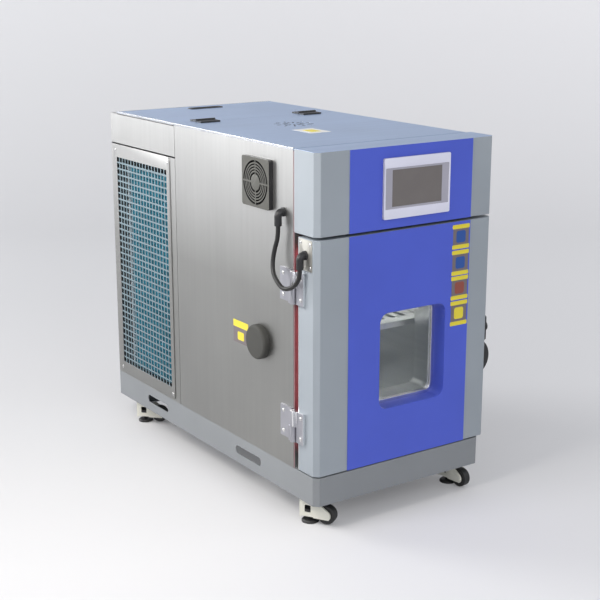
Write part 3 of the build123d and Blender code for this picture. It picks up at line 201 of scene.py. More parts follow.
def mouldedPlastic(name, color, roughness=0.5, grain=1500, depth=0.3, wear=0.1):
    mat, nodes, links, shader = newMaterial(name, color, roughness)
    texture = objectNoise(nodes, links, grain, (1, 1, 1), 3.0)
    wide = objectNoise(nodes, links, 25.0, (1, 1, 1), 4.0)
    light = tuple(min(1.0, c * (1 + wear) + wear * 0.03) for c in color)
    tone = ramp(nodes, links, wide.outputs["Fac"], ((0.4, color), (0.75, light)))
    links.new(tone.outputs["Color"], shader.inputs["Base Color"])
    addBump(nodes, links, shader, texture.outputs["Fac"], depth, 0.0001)
    return mat


def clearGlass(name):
    mat, nodes, links, shader = newMaterial(name, (0.70, 0.78, 0.78), 0.03)
    shader.inputs["Alpha"].default_value = 0.05
    shader.inputs["Specular IOR Level"].default_value = 0.5
    return mat


# the side steel carries the painted shade low down and the painted highlight at the top
sideSteel = brushedSteel("sideSteel", (0.64, 0.64, 0.63), (0.60, 0.60, 0.59), 0.42, (1.5, 1.5, 0.04),
                         baseZ, topZ, (0.56, 0.56, 0.55))
grilleSteel = brushedSteel("grilleSteel", (0.33, 0.42, 0.46), (0.28, 0.37, 0.41), 0.42, (1.0, 1.0, 1.0))
# the top's steel is tinted sky blue: a painted reflection of the sky
paintedSkyReflectionSteel = brushedSteel("paintedSkyReflectionSteel", (0.62, 0.76, 1.0), (0.57, 0.71, 0.96), 0.40, (0.04, 1.5, 1.5))
plateSteel = brushedSteel("plateSteel", (0.50, 0.49, 0.45), (0.44, 0.43, 0.40), 0.5, (1.0, 1.0, 1.0))
# near-white steel for rims and edge faces: a painted highlight
paintedHighlightSteel = brushedSteel("paintedHighlightSteel", (0.95, 0.96, 0.97), (0.90, 0.91, 0.93), 0.25, (1.0, 1.0, 1.0))
innerSteel = brushedSteel("innerSteel", (0.78, 0.79, 0.78), (0.70, 0.71, 0.70), 0.32, (1.5, 0.05, 1.5))
platedSteel = brushedSteel("platedSteel", (0.74, 0.75, 0.76), (0.66, 0.67, 0.68), 0.28, (0.3, 0.3, 1.0))
polishedZinc = brushedSteel("polishedZinc", (0.90, 0.90, 0.91), (0.82, 0.82, 0.84), 0.22, (1.0, 1.0, 0.2))
greyPaint = powderCoat("greyPaint", (0.355, 0.395, 0.435))
bluePaint = powderCoat("bluePaint", (0.080, 0.125, 0.66), 0.36)
plinthPaint = powderCoat("plinthPaint", (0.27, 0.285, 0.30), 0.45)
blackPaint = powderCoat("blackPaint", (0.02, 0.02, 0.022), 0.35)
blackPlastic = mouldedPlastic("blackPlastic", (0.018, 0.018, 0.02), 0.42)
lavenderPlastic = mouldedPlastic("lavenderPlastic", (0.80, 0.80, 0.93), 0.35, 900, 0.1, 0.02)
plugRubber = mouldedPlastic("plugRubber", (0.055, 0.055, 0.05), 0.7, 700, 0.5)
sealRubber = mouldedPlastic("sealRubber", (0.33, 0.02, 0.035), 0.6, 900, 0.3)
guardPlastic = mouldedPlastic("guardPlastic", (0.085, 0.085, 0.075), 0.45)
ivoryPlastic = mouldedPlastic("ivoryPlastic", (0.80, 0.79, 0.70), 0.4, 900, 0.15, 0.03)
wheelRubber = mouldedPlastic("wheelRubber", (0.02, 0.02, 0.02), 0.5, 900, 0.4)
cableRubber = mouldedPlastic("cableRubber", (0.012, 0.012, 0.012), 0.45, 1200, 0.4)
foamYellow = mouldedPlastic("foamYellow", (0.75, 0.66, 0.42), 0.9, 400, 0.8)
coilTeal = mouldedPlastic("coilTeal", (0.05, 0.34, 0.46), 0.35, 60, 0.1, 0.3)
paneGlass = clearGlass("paneGlass")
screenSilver = mouldedPlastic("screenSilver", (0.42, 0.41, 0.48), 0.3, 900, 0.1, 0.03)
screenFace = mouldedPlastic("screenFace", (0.185, 0.168, 0.162), 0.12, 300, 0.02, 0.05)
hingeGrey = brushedSteel("hingeGrey", (0.50, 0.50, 0.54), (0.44, 0.44, 0.48), 0.40, (1.0, 1.0, 0.2))
seamPink = mouldedPlastic("seamPink", (0.36, 0.22, 0.24), 0.6, 900, 0.2)
labelYellow = mouldedPlastic("labelYellow", (0.84, 0.70, 0.05), 0.4, 300, 0.05, 0.02)
labelGrey = mouldedPlastic("labelGrey", (0.19, 0.16, 0.17), 0.4, 300, 0.05, 0.02)
labelWhite = mouldedPlastic("labelWhite", (0.80, 0.80, 0.78), 0.4, 300, 0.05, 0.02)
labelBlue = mouldedPlastic("labelBlue", (0.02, 0.09, 0.36), 0.4, 300, 0.05, 0.02)
labelRed = mouldedPlastic("labelRed", (0.30, 0.075, 0.055), 0.4, 300, 0.05, 0.02)
print("materials made")


# mesh helpers
def linked(name, mesh, mat=None):
    obj = bpy.data.objects.new(name, mesh)
    bpy.context.collection.objects.link(obj)
    if mat is not None:
        mesh.materials.clear()
        mesh.materials.append(mat)
    return obj


def settled(obj):
    # the evaluated mesh becomes the object's own, and its modifiers go
    bpy.context.view_layer.update()
    depsgraph = bpy.context.evaluated_depsgraph_get()
    mesh = bpy.data.meshes.new_from_object(obj.evaluated_get(depsgraph))
    obj.modifiers.clear()
    obj.data = mesh
    return obj


def smoothByAngle(obj, degrees=32):
    for face in obj.data.polygons:
        face.use_smooth = True
    obj.data.set_sharp_from_angle(angle=math.radians(degrees))


def roundEdges(obj, width, segments=2, degrees=32):
    smoothByAngle(obj, degrees)
    bevel = obj.modifiers.new("edges", "BEVEL")
    bevel.width = width
    bevel.segments = segments
    bevel.limit_method = "ANGLE"
    bevel.angle_limit = math.radians(degrees)
    bevel.use_clamp_overlap = True
    bevel.harden_normals = True
    settled(obj)


def place(obj, body):
    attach(obj, body)


def dress(node, mat, width=0.0006, segments=2, degrees=32, painter=()):
    # a bevelled copy of a frame node, shown in its place; the painter gives some faces other materials, among
    # them painted highlights, a painted reflection and painted shade
    # width 0 leaves folded sheet flat shaded, because its long thin triangles shade wrong when smoothed
    mesh = frame["nodes"][node].data.copy()
    obj = linked(node + "_skin", mesh, mat)
    bm = bmesh.new()
    bm.from_mesh(mesh)
    bmesh.ops.remove_doubles(bm, verts=bm.verts, dist=1e-6)
    bm.normal_update()
    for face in bm.faces:
        face.material_index = 0
    for other, test in painter:
        mesh.materials.append(other)
        for face in bm.faces:
            if test(face.normal, face.calc_center_median()):
                face.material_index = len(mesh.materials) - 1
    bm.to_mesh(mesh)
    bm.free()
    if width > 0:
        roundEdges(obj, width, segments, degrees)
    place(obj, nodeBody[node])
    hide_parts(node)
    return obj


dressed = {
    "plinth": (plinthPaint, 0), "left_side_panel": (sideSteel, 0),
    "right_side_panel": (sideSteel, 0), "rear_casing": (sideSteel, 0),
    "grille_surround": (sideSteel, 0.0009), "top_cover": (paintedSkyReflectionSteel, 0), "rear_lid": (paintedSkyReflectionSteel, 0),
    "lid_hinge_bases": (blackPlastic, 0.0007), "lid_hinge_leaves": (blackPlastic, 0.0007),
    "lid_handle": (blackPlastic, 0.0005), "head_shell": (greyPaint, 0.0015),
    "head_blue_panel": (bluePaint, 0.0009), "hmi_bezel": (lavenderPlastic, 0.0008),
    "front_frame": (innerSteel, 0), "chamber_liner": (innerSteel, 0),
    "air_baffle": (innerSteel, 0.0004), "shelf": (innerSteel, 0.0003), "door_shell": (greyPaint, 0.0015),
    "door_blue_panel": (bluePaint, 0.0009), "door_inner_panel": (innerSteel, 0),
    "door_gasket": (sealRubber, 0.0030), "window_frame": (polishedZinc, 0.0012),
    "hinge_cabinet_leaves": (hingeGrey, 0.0010), "hinge_door_leaves": (hingeGrey, 0.0010),
    "latch_base": (blackPaint, 0.0008), "latch_lever": (blackPlastic, 0.0022),
    "latch_keeper": (blackPaint, 0.0008), "vent_guard": (guardPlastic, 0.0006),
    "vent_fan_housing": (blackPlastic, 0.0005), "vent_fan_rotor": (blackPlastic, 0.0004),
    "port_plug": (plugRubber, 0.0008), "condenser_housing": (platedSteel, 0.0004),
    "condenser_fan_rotor": (blackPaint, 0.0004), "compressor": (blackPaint, 0.0010),
    "circulation_motor": (blackPaint, 0.0010), "circulation_impeller": (platedSteel, 0.0004),
    "evaporator": (platedSteel, 0.0002), "heater": (platedSteel, 0.0002),
    "control_plate": (guardPlastic, 0.0008), "insulation": (foamYellow, 0.0010),
    "cabinet_connector": (blackPlastic, 0.0006), "door_connector": (blackPlastic, 0.0004),
}
for corner in ("front_left", "front_right", "rear_left", "rear_right"):
    dressed[corner + "_caster_body"] = (ivoryPlastic, 0.0012)
    dressed[corner + "_caster_wheel"] = (wheelRubber, 0.0020)
    dressed[corner + "_levelling_foot"] = (wheelRubber, 0.0006)
bezelFrontY = low("hmi_bezel")[1]
plateFaceX = leftX - 0.0014
ventRing = {"fromLeft": 0.250, "fromFront": 0.465, "radius": 0.065}
ventMiddle = Vector((leftX + ventRing["fromLeft"], frontY + ventRing["fromFront"]))


# the slot walls in the top's vent ring are painted black: painted shade in the slots
def ventWallPaintedShade(normal, middle):
    return abs(normal.z) < 0.5 and (middle.xy - ventMiddle).length < ventRing["radius"]


painters = {
    # the head's top faces take the sky-tinted top steel: painted reflection
    "head_shell": [(paintedSkyReflectionSteel, lambda normal, middle: normal.z > 0.9 and middle.z > topZ - 0.001)],
    # the cover's side edges take near-white steel (painted highlight) and its vent slot walls black paint
    # (painted shade)
    "top_cover": [(paintedHighlightSteel, lambda normal, middle: abs(normal.x) > 0.9), (blackPaint, ventWallPaintedShade)],
    # the lid's edge faces take near-white steel: painted highlight
    "rear_lid": [(paintedHighlightSteel, lambda normal, middle: abs(normal.x) > 0.9 or abs(normal.y) > 0.9)],
    "hmi_bezel": [(screenSilver, lambda normal, middle: middle.y > bezelFrontY + 0.0006)],
    # the hinge leaves' front and top faces take near-white steel: painted highlight
    "hinge_door_leaves": [(paintedHighlightSteel, lambda normal, middle: normal.y < -0.5 or normal.z > 0.9)],
    "door_connector": [(plateSteel, lambda normal, middle: middle.x > plateFaceX)],
    "vent_guard": [(blackPlastic, lambda normal, middle: abs(normal.x) < 0.7)],
    "front_frame": [(seamPink, lambda normal, middle: normal.x < -0.9 and middle.x < leftX + 0.001)],
}
for node, (mat, width) in dressed.items():
    dress(node, mat, width, painter=painters.get(node, ()))
print("frame nodes dressed")
for node, mat in (("hmi_screen", screenFace), ("window_glass", paneGlass)):
    for materialSlot in frame["nodes"][node].material_slots:
        materialSlot.material = mat


# node tools: a tree is built once, its inputs are set by identifier, and the result is settled
class NodeTree:
    def __init__(self, name):
        self.tree = bpy.data.node_groups.new(name, "GeometryNodeTree")
        self.tree.is_modifier = True
        self.enter = self.tree.nodes.new("NodeGroupInput")
        self.leave = self.tree.nodes.new("NodeGroupOutput")
        self.sockets = {}
        self.tree.interface.new_socket("Geometry", in_out="INPUT", socket_type="NodeSocketGeometry")
        self.tree.interface.new_socket("Geometry", in_out="OUTPUT", socket_type="NodeSocketGeometry")

    def value(self, name, kind="NodeSocketFloat"):
        socket = self.tree.interface.new_socket(name, in_out="INPUT", socket_type=kind)
        self.sockets[name] = socket.identifier
        return self.enter.outputs[name]

    def node(self, kind, settings=None, **inputs):
        node = self.tree.nodes.new(kind)
        for key, setting in (settings or {}).items():
            setattr(node, key, setting)
        for key, given in inputs.items():
            self.give(node.inputs[key.replace("_", " ")], given)
        return node

    def give(self, socket, given):
        if isinstance(given, bpy.types.NodeSocket):
            self.tree.links.new(given, socket)
        else:
            socket.default_value = given

    def finish(self, geometry, mat):
        real = self.node("GeometryNodeRealizeInstances")
        self.give(real.inputs["Geometry"], geometry)
        paint = self.node("GeometryNodeSetMaterial")
        self.give(paint.inputs["Geometry"], real.outputs["Geometry"])
        paint.inputs["Material"].default_value = mat
        self.give(self.leave.inputs["Geometry"], paint.outputs["Geometry"])

    def apply(self, obj, values):
        modifier = obj.modifiers.new(self.tree.name, "NODES")
        modifier.node_group = self.tree
        for name, given in values.items():
            modifier[self.sockets[name]] = given
        settled(obj)
        return obj


def pointMesh(name, points, normals=None):
    mesh = bpy.data.meshes.new(name)
    mesh.from_pydata([tuple(point) for point in points], [], [])
    if normals is not None:
        attribute = mesh.attributes.new("axis", "FLOAT_VECTOR", "POINT")
        for item, normal in zip(attribute.data, normals):
            item.vector = normal
    return mesh


# pan-head screws, one tree for all of them
def screwTree(mat):
    tree = NodeTree("panHeadScrews")
    radius = tree.value("Head radius")
    height = tree.value("Head height")
    washer = tree.value("Washer radius")
    half = tree.node("ShaderNodeMath", {"operation": "MULTIPLY"})
    tree.give(half.inputs[0], height)
    half.inputs[1].default_value = 0.5
    head = tree.node("GeometryNodeMeshUVSphere", Segments=20, Rings=10, Radius=1.0)
    scale = tree.node("ShaderNodeCombineXYZ", X=radius, Y=radius, Z=height)
    dome = tree.node("GeometryNodeTransform", Geometry=head.outputs["Mesh"], Scale=scale.outputs["Vector"])
    disc = tree.node("GeometryNodeMeshCylinder", Vertices=20, Radius=washer, Depth=half.outputs["Value"])
    join = tree.node("GeometryNodeJoinGeometry")
    tree.give(join.inputs["Geometry"], dome.outputs["Geometry"])
    tree.give(join.inputs["Geometry"], disc.outputs["Mesh"])
    axis = tree.node("GeometryNodeInputNamedAttribute", {"data_type": "FLOAT_VECTOR"}, Name="axis")
    turn = tree.node("FunctionNodeAlignRotationToVector", {"axis": "Z"}, Vector=axis.outputs["Attribute"])
    spread = tree.node("GeometryNodeInstanceOnPoints", Points=tree.enter.outputs["Geometry"],
                       Instance=join.outputs["Geometry"], Rotation=turn.outputs["Rotation"])
    tree.finish(spread.outputs["Instances"], mat)
    return tree


brightScrew = brushedSteel("brightScrew", (0.86, 0.86, 0.85), (0.74, 0.74, 0.73), 0.25, (1.0, 1.0, 1.0))
screws = screwTree(brightScrew)


def addScrews(name, body, slotName, points, normal, radius=0.004, height=0.0018, washer=0.0048):
    obj = linked(name, pointMesh(name, points, [normal] * len(points)))
    screws.apply(obj, {"Head radius": radius, "Head height": height, "Washer radius": washer})
    smoothByAngle(obj, 40)
    place(obj, body)
    return obj


sideOut = (-1.0, 0.0, 0.0)
surroundLow = low("grille_surround")
surroundHigh = high("grille_surround")
grilleScrews = {"inset": 0.011, "belowTop": 0.016}
addScrews("grille_screws", "cabinet", "cabinet_steel",
          [(surroundLow[0], y, z) for y in (surroundLow[1] + grilleScrews["inset"],
                                            surroundHigh[1] - grilleScrews["inset"])
           for z in (surroundLow[2] + grilleScrews["belowTop"], surroundHigh[2] - grilleScrews["belowTop"])],
          sideOut)
hingeScrews = {"rows": (-0.026, 0.026), "cabinetColumn": 0.036, "doorColumn": 0.021, "leafHalfHeight": 0.040,
               "cabinetLeafOut": 0.005, "doorLeafOut": 0.008, "size": (0.0045, 0.0022, 0.0052)}
hingeLow = low("hinge_cabinet_leaves")
hingeHigh = high("hinge_cabinet_leaves")
hingeMiddles = (hingeLow[2] + hingeScrews["leafHalfHeight"],
                hingeHigh[2] - hingeScrews["leafHalfHeight"])
cabinetLeafX = leftX - hingeScrews["cabinetLeafOut"]
doorLeafX = leftX - hingeScrews["doorLeafOut"]
frameBackY = high("front_frame")[1]
doorBackY = low("door_gasket")[1]
addScrews("hinge_cabinet_screws", "cabinet", "hinge_zinc",
          [(cabinetLeafX, frameBackY + hingeScrews["cabinetColumn"], middle + row)
           for middle in hingeMiddles for row in hingeScrews["rows"]], sideOut, *hingeScrews["size"])
addScrews("hinge_door_screws", "door", "hinge_zinc",
          [(doorLeafX, doorBackY - hingeScrews["doorColumn"], middle + row)
           for middle in hingeMiddles for row in hingeScrews["rows"]], sideOut, *hingeScrews["size"])
plateScrews = {"across": 0.019, "up": 0.028, "fromFront": 0.042, "fromBase": 0.618, "out": 0.0012,
               "size": (0.0038, 0.0018, 0.0044)}
plateMiddleY = frontY + plateScrews["fromFront"]
plateMiddleZ = baseZ + plateScrews["fromBase"]
addScrews("door_plate_screws", "door", "cabinet_steel",
          [(leftX - plateScrews["out"], plateMiddleY + across, plateMiddleZ + up)
           for across in (-plateScrews["across"], plateScrews["across"])
           for up in (-plateScrews["up"], plateScrews["up"])], sideOut, *plateScrews["size"])
print("screws set")


# the perforated sheet behind the surround: one punched cell, repeated
def punchedSheetTree(mat):
    tree = NodeTree("punchedSheet")
    columns = tree.value("Columns", "NodeSocketInt")
    rows = tree.value("Rows", "NodeSocketInt")
    across = tree.value("Across")
    up = tree.value("Up")
    pitch = tree.value("Pitch")
    opening = tree.value("Opening")
    thickness = tree.value("Thickness")
    outline = tree.node("GeometryNodeCurvePrimitiveQuadrilateral", Width=pitch, Height=pitch)
    hole = tree.node("GeometryNodeCurvePrimitiveQuadrilateral", Width=opening, Height=opening)
    corner = tree.node("ShaderNodeMath", {"operation": "MULTIPLY"})
    tree.give(corner.inputs[0], opening)
    corner.inputs[1].default_value = 0.14
    soft = tree.node("GeometryNodeFilletCurve", {"mode": "POLY"}, Curve=hole.outputs["Curve"], Count=3,
                     Radius=corner.outputs["Value"])
    both = tree.node("GeometryNodeJoinGeometry")
    tree.give(both.inputs["Geometry"], outline.outputs["Curve"])
    tree.give(both.inputs["Geometry"], soft.outputs["Curve"])
    fill = tree.node("GeometryNodeFillCurve", {"mode": "TRIANGLES"}, Curve=both.outputs["Geometry"])
    deep = tree.node("GeometryNodeExtrudeMesh", {"mode": "FACES"}, Mesh=fill.outputs["Mesh"],
                     Offset_Scale=thickness, Individual=False)
    flipped = tree.node("GeometryNodeFlipFaces", Mesh=fill.outputs["Mesh"])
    closed = tree.node("GeometryNodeJoinGeometry")
    tree.give(closed.inputs["Geometry"], deep.outputs["Mesh"])
    tree.give(closed.inputs["Geometry"], flipped.outputs["Mesh"])
    stood = tree.node("GeometryNodeTransform", Geometry=closed.outputs["Geometry"],
                      Rotation=(math.radians(90), 0, math.radians(-90)))
    grid = tree.node("GeometryNodeMeshGrid", Size_X=across, Size_Y=up, Vertices_X=columns, Vertices_Y=rows)
    upright = tree.node("GeometryNodeTransform", Geometry=grid.outputs["Mesh"],
                        Rotation=(math.radians(90), 0, math.radians(-90)))
    spread = tree.node("GeometryNodeInstanceOnPoints", Points=upright.outputs["Geometry"],
                       Instance=stood.outputs["Geometry"])
    move = tree.node("GeometryNodeTransform", Geometry=spread.outputs["Instances"])
    tree.give(move.inputs["Translation"], tree.value("Middle", "NodeSocketVector"))
    tree.finish(move.outputs["Geometry"], mat)
    return tree


grilleSheet = {"pitch": 0.0178, "opening": 0.0133, "thickness": 0.0014, "margin": 0.006}


def addGrilleSheet():
    sheetLow = low("grille_sheet")
    sheetHigh = high("grille_sheet")
    pitch = grilleSheet["pitch"]
    margin = grilleSheet["margin"]
    fieldAcross = sheetHigh[1] - sheetLow[1] - 2 * margin
    fieldUp = sheetHigh[2] - sheetLow[2] - 2 * margin
    columns = round((fieldAcross + pitch - grilleSheet["opening"]) / pitch)
    rows = round((fieldUp + pitch - grilleSheet["opening"]) / pitch)
    obj = linked("grille_sheet_skin", pointMesh("grille_sheet_skin", [(0, 0, 0)]))
    punchedSheetTree(grilleSteel).apply(obj, {
        "Columns": columns, "Rows": rows, "Across": (columns - 1) * pitch, "Up": (rows - 1) * pitch,
        "Pitch": pitch, "Opening": grilleSheet["opening"], "Thickness": grilleSheet["thickness"],
        "Middle": (sheetLow[0] + 0.0001, (sheetLow[1] + sheetHigh[1]) / 2, (sheetLow[2] + sheetHigh[2]) / 2)})
    place(obj, "cabinet")
    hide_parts("grille_sheet", "grille_cross_bars")
    print("grille", columns, "by", rows, "holes")


addGrilleSheet()


# coated condenser fins: thin upright sheets, close together
def finTree(mat):
    tree = NodeTree("uprightFins")
    size = tree.value("Fin size", "NodeSocketVector")
    count = tree.value("Count", "NodeSocketInt")
    first = tree.value("First", "NodeSocketVector")
    step = tree.value("Step", "NodeSocketVector")
    fin = tree.node("GeometryNodeMeshCube", Size=size)
    line = tree.node("GeometryNodeMeshLine", {"mode": "OFFSET"}, Count=count, Start_Location=first,
                     Offset=step)
    spread = tree.node("GeometryNodeInstanceOnPoints", Points=line.outputs["Mesh"],
                       Instance=fin.outputs["Mesh"])
    tree.finish(spread.outputs["Instances"], mat)
    return tree


condenserFins = {"pitch": 0.0042, "thickness": 0.0006}


def addCondenserFins():
    start = low("condenser_fins")
    end = high("condenser_fins")
    pitch = condenserFins["pitch"]
    count = int((end[1] - start[1]) / pitch)
    obj = linked("condenser_fins_skin", pointMesh("condenser_fins_skin", [(0, 0, 0)]))
    finTree(coilTeal).apply(obj, {
        "Fin size": (end[0] - start[0], condenserFins["thickness"], end[2] - start[2]), "Count": count,
        "First": ((start[0] + end[0]) / 2, start[1] + pitch / 2, (start[2] + end[2]) / 2),
        "Step": (0, pitch, 0)})
    place(obj, "cabinet")
    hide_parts("condenser_fins")


addCondenserFins()
print("grille and fins made")


# plain colour plates stuck on the door, the side and the top
def stickerMesh(name, origin, acrossAxis, upAxis, outAxis, size, corner, thickness, mat):
    bm = bmesh.new()
    width, height = size
    outline = []
    steps = 5
    for signX, signY, startAngle in ((1, 1, 0), (-1, 1, 90), (-1, -1, 180), (1, -1, 270)):
        for step in range(steps + 1):
            angle = math.radians(startAngle + 90 * step / steps)
            outline.append((signX * (width / 2 - corner) + corner * math.cos(angle),
                            signY * (height / 2 - corner) + corner * math.sin(angle)))
    back = [bm.verts.new(origin + acrossAxis * x + upAxis * y) for x, y in outline]
    rise = outAxis * thickness
    face = bm.faces.new(back)
    made = bmesh.ops.extrude_face_region(bm, geom=[face])
    for vert in [item for item in made["geom"] if isinstance(item, bmesh.types.BMVert)]:
        vert.co += rise
    bmesh.ops.recalc_face_normals(bm, faces=bm.faces)
    mesh = bpy.data.meshes.new(name)
    bm.to_mesh(mesh)
    bm.free()
    mesh.materials.append(mat)
    return mesh


def joined(name, meshes):
    bm = bmesh.new()
    mesh = bpy.data.meshes.new(name)
    for part in meshes:
        index = len(mesh.materials)
        if part.materials[0] in list(mesh.materials):
            index = list(mesh.materials).index(part.materials[0])
        else:
            mesh.materials.append(part.materials[0])
        before = len(bm.faces)
        bm.from_mesh(part)
        bm.faces.ensure_lookup_table()
        for face in bm.faces[before:]:
            face.material_index = index
    bm.to_mesh(mesh)
    bm.free()
    return mesh


filmHeights = {"ground": 0.0003, "colour": 0.0005}
doorPlates = {"left": 0.408, "right": 0.463, "band": 0.0105, "field": (0.030, 0.030),
              "rows": ((0.644, 0.593), (0.579, 0.526), (0.513, 0.463), (0.449, 0.396)),
              "fields": (labelBlue, labelBlue, labelRed, labelYellow)}


def addDoorPlates():
    across = Vector((1, 0, 0))
    up = Vector((0, 0, 1))
    out = Vector((0, -1, 0))
    middleX = leftX + (doorPlates["left"] + doorPlates["right"]) / 2
    width = doorPlates["right"] - doorPlates["left"]
    band = doorPlates["band"]
    meshes = []
    for (upper, lower), fieldMat in zip(doorPlates["rows"], doorPlates["fields"]):
        middle = Vector((middleX, blueFaceY, baseZ + (upper + lower) / 2))
        ground = (width - 0.004, upper - lower + band)
        meshes.append(stickerMesh("ground", middle, across, up, out, ground, 0.001, filmHeights["ground"],
                                  labelGrey))
        for height in (upper, lower):
            bandMiddle = Vector((middleX, blueFaceY, baseZ + height))
            meshes.append(stickerMesh("band", bandMiddle, across, up, out, (width, band), 0.0025,
                                      filmHeights["colour"], labelYellow))
        meshes.append(stickerMesh("field", middle, across, up, out, doorPlates["field"], 0.006,
                                  filmHeights["colour"], fieldMat))
    obj = linked("door_colour_plates", joined("door_colour_plates", meshes))
    place(obj, "door")


sidePlate = {"front": 0.298, "back": 0.369, "low": 0.332, "high": 0.391, "band": 0.018,
             "field": (0.030, 0.022), "fieldDrop": 0.010}


def addSidePlate():
    across = Vector((0, 1, 0))
    up = Vector((0, 0, 1))
    out = Vector((-1, 0, 0))
    middle = Vector((leftX, frontY + (sidePlate["front"] + sidePlate["back"]) / 2,
                     baseZ + (sidePlate["low"] + sidePlate["high"]) / 2))
    length = sidePlate["back"] - sidePlate["front"]
    height = sidePlate["high"] - sidePlate["low"]
    band = sidePlate["band"]
    meshes = [stickerMesh("ground", middle, across, up, out, (length, height), 0.002,
                          filmHeights["ground"], labelGrey),
              stickerMesh("band", middle + up * (height / 2 - band / 2), across, up, out, (length, band),
                          0.002, filmHeights["colour"], labelYellow),
              stickerMesh("field", middle - up * sidePlate["fieldDrop"], across, up, out,
                          sidePlate["field"], 0.004, filmHeights["colour"], labelYellow)]
    obj = linked("side_colour_plate", joined("side_colour_plate", meshes))
    place(obj, "cabinet")


topPlate = {"left": 0.187, "right": 0.250, "front": 0.291, "back": 0.376, "fieldShare": 0.5}


def addTopPlate():
    across = Vector((1, 0, 0))
    up = Vector((0, 1, 0))
    out = Vector((0, 0, 1))
    coverZ = high("top_cover")[2]
    middle = Vector((leftX + (topPlate["left"] + topPlate["right"]) / 2,
                     frontY + (topPlate["front"] + topPlate["back"]) / 2, coverZ))
    size = (topPlate["right"] - topPlate["left"], topPlate["back"] - topPlate["front"])
    field = (size[0] * topPlate["fieldShare"], size[1] * topPlate["fieldShare"])
    meshes = [stickerMesh("ground", middle, across, up, out, size, 0.002, filmHeights["ground"], labelWhite),
              stickerMesh("field", middle, across, up, out, field, 0.004, filmHeights["colour"],
                          labelYellow)]
    obj = linked("top_colour_plate", joined("top_colour_plate", meshes))
    place(obj, "cabinet")


# the bright folded rims on the cover and the lid; their near-white steel is a painted highlight
rims = {"width": 0.0035, "lidWidth": 0.0056, "rise": 0.0012, "inset": 0.0006, "sunk": 0.0002}
lidTopZ = high("rear_lid")[2]


def addRim(name, body, boxes):
    bm = bmesh.new()
    for lowCorner, highCorner in boxes:
        size = Vector(highCorner) - Vector(lowCorner)
        middle = (Vector(highCorner) + Vector(lowCorner)) / 2
        bmesh.ops.create_cube(bm, size=1.0, matrix=Matrix.Translation(middle) @ Matrix.Diagonal((*size, 1)))
    mesh = bpy.data.meshes.new(name)
    bm.to_mesh(mesh)
    bm.free()
    obj = linked(name, mesh, paintedHighlightSteel)
    roundEdges(obj, 0.0005)
    place(obj, body)


def addRims():
    coverLow = low("top_cover")
    coverHigh = high("top_cover")
    lidLow = low("rear_lid")
    lidHigh = high("rear_lid")
    edge = leftX + rims["inset"]
    addRim("cover_rim", "cabinet", [
        ((edge, coverLow[1] + 0.001, coverHigh[2] - rims["sunk"]),
         (edge + rims["width"], lidLow[1] - 0.002, coverHigh[2] + rims["rise"]))])
    left = lidLow[0] + rims["inset"]
    back = lidHigh[1] - rims["inset"]
    addRim("lid_rim", "lid", [
        ((left, lidLow[1] + 0.001, lidTopZ - rims["sunk"]),
         (left + rims["lidWidth"], back, lidTopZ + rims["rise"])),
        ((left + rims["lidWidth"], back - rims["lidWidth"], lidTopZ - rims["sunk"]),
         (lidHigh[0] - rims["inset"], back, lidTopZ + rims["rise"]))])


addRims()
addDoorPlates()
addSidePlate()
addTopPlate()
print("plates stuck on")


# door cable, through the same points as the solid tube follows
doorCable = {"diameter": 0.011, "length": 0.255, "points": [
    (0.017, 0.133, 0.674), (0.017, 0.133, 0.648), (0.020, 0.142, 0.621), (0.024, 0.146, 0.591),
    (0.030, 0.137, 0.562), (0.033, 0.112, 0.543), (0.033, 0.086, 0.531), (0.028, 0.056, 0.541),
    (0.022, 0.044, 0.556), (0.017, 0.042, 0.574), (0.017, 0.042, 0.586)]}


def addDoorCable():
    points = [Vector((leftX - out, frontY + depth, baseZ + rise)) for out, depth, rise in doorCable["points"]]
    curve = bpy.data.curves.new("doorCable", "CURVE")
    curve.dimensions = "3D"
    curve.resolution_u = 12
    spline = curve.splines.new("NURBS")
    spline.points.add(len(points) - 1)
    for point, where in zip(spline.points, points):
        point.co = (*where, 1)
    spline.order_u = 3
    spline.use_endpoint_u = True
    curve.bevel_depth = doorCable["diameter"] / 2
    curve.bevel_resolution = 6
    curve.materials.append(cableRubber)
    obj = bpy.data.objects.new("door_cable_skin", curve)
    bpy.context.collection.objects.link(obj)
    place(obj, nodeBody["door_cable"])
    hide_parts("door_cable")


addDoorCable()
print("cable hung")


# studio; the backdrop glows a little towards the right and the top, for the camera alone
backdrop = {"color": (0.70, 0.70, 0.71), "glow": 0.10, "slope": (0.045, -0.030, 0.11), "near": -4.0,
            "bendStart": 3.0, "bendRadius": 1.5, "top": 5.0, "halfWidth": 6}
sky = {"color": (0.93, 0.95, 1.0, 1), "strength": 0.52}
lampColor = (1.0, 1.0, 1.0)
keyColor = (1.0, 0.96, 0.91)
lampAim = Vector((0, 0, 0.5))
# name, place, size, power, colour; the last stands for the light inside the test space
lamps = (("keyLamp", (-1.45, -0.45, 1.55), 0.9, 19, keyColor),
         ("frontLamp", (-0.6, -4.2, 2.6), 2.4, 36, lampColor),
         ("backLamp", (-3.2, 4.2, 2.2), 2.6, 165, lampColor),
         ("rightLamp", (3.2, -2.4, 2.6), 2.2, 12, lampColor),
         ("chamberLamp", (midX, -0.36, 0.60), 0.20, 1.5, lampColor))


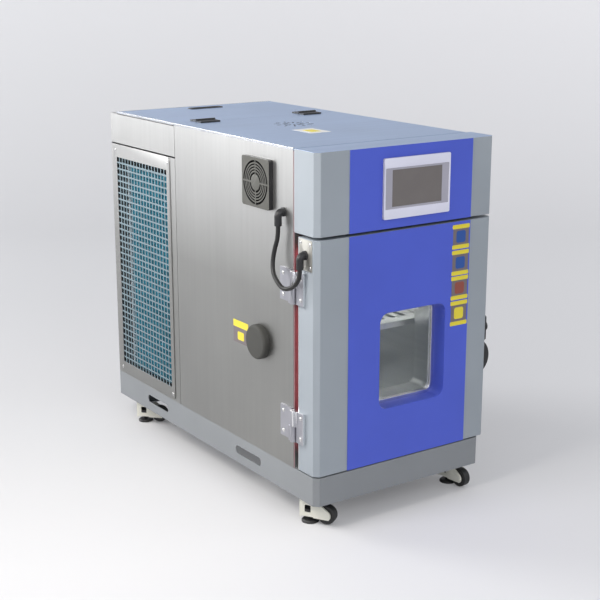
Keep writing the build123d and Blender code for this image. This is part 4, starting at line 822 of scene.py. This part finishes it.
def addStudio():
    mat, nodes, links, shader = newMaterial("paleBackdrop", backdrop["color"], 0.9)
    shader.inputs["Specular IOR Level"].default_value = 0.1
    coords = nodes.new("ShaderNodeTexCoord")
    slope = nodes.new("ShaderNodeVectorMath")
    slope.operation = "DOT_PRODUCT"
    slope.inputs[1].default_value = backdrop["slope"]
    links.new(coords.outputs["Object"], slope.inputs[0])
    glow = nodes.new("ShaderNodeMath")
    glow.operation = "ADD"
    glow.use_clamp = True
    glow.inputs[1].default_value = backdrop["glow"]
    links.new(slope.outputs["Value"], glow.inputs[0])
    seen = nodes.new("ShaderNodeLightPath")
    strength = nodes.new("ShaderNodeMath")
    strength.operation = "MULTIPLY"
    links.new(glow.outputs["Value"], strength.inputs[0])
    links.new(seen.outputs["Is Camera Ray"], strength.inputs[1])
    shader.inputs["Emission Color"].default_value = (0.98, 0.97, 1.0, 1)
    links.new(strength.outputs["Value"], shader.inputs["Emission Strength"])
    start = backdrop["bendStart"]
    radius = backdrop["bendRadius"]
    profile = [(backdrop["near"], 0.0), (start, 0.0)]
    for step in range(1, 9):
        angle = math.radians(90 * step / 8)
        profile.append((start + radius * math.sin(angle), radius - radius * math.cos(angle)))
    profile.append((start + radius, backdrop["top"]))
    yaw = math.radians(camera["yaw"])
    ahead = Vector((math.sin(yaw), math.cos(yaw), 0))
    across = Vector((math.cos(yaw), -math.sin(yaw), 0))
    bm = bmesh.new()
    rows = []
    for along, rise in profile:
        rows.append([bm.verts.new(ahead * along + across * side + Vector((0, 0, rise)))
                     for side in (-backdrop["halfWidth"], backdrop["halfWidth"])])
    for near, far in zip(rows, rows[1:]):
        bm.faces.new((near[0], near[1], far[1], far[0]))
    mesh = bpy.data.meshes.new("backdrop")
    bm.to_mesh(mesh)
    bm.free()
    obj = linked("backdrop", mesh, mat)
    for face in mesh.polygons:
        face.use_smooth = True
    world = bpy.data.worlds.new("studioWorld")
    bpy.context.scene.world = world
    world.use_nodes = True
    world.node_tree.nodes["Background"].inputs["Color"].default_value = sky["color"]
    world.node_tree.nodes["Background"].inputs["Strength"].default_value = sky["strength"]
    for name, where, size, power, color in lamps:
        light = bpy.data.lights.new(name, "AREA")
        light.color = color
        light.shape = "DISK"
        light.size = size
        light.energy = power
        lamp = bpy.data.objects.new(name, light)
        lamp.visible_camera = False
        lamp.location = where
        lamp.rotation_euler = (lampAim - Vector(where)).to_track_quat("-Z", "Y").to_euler()
        bpy.context.collection.objects.link(lamp)


addStudio()
bpy.context.scene.view_settings.view_transform = "Standard"
print("studio set")
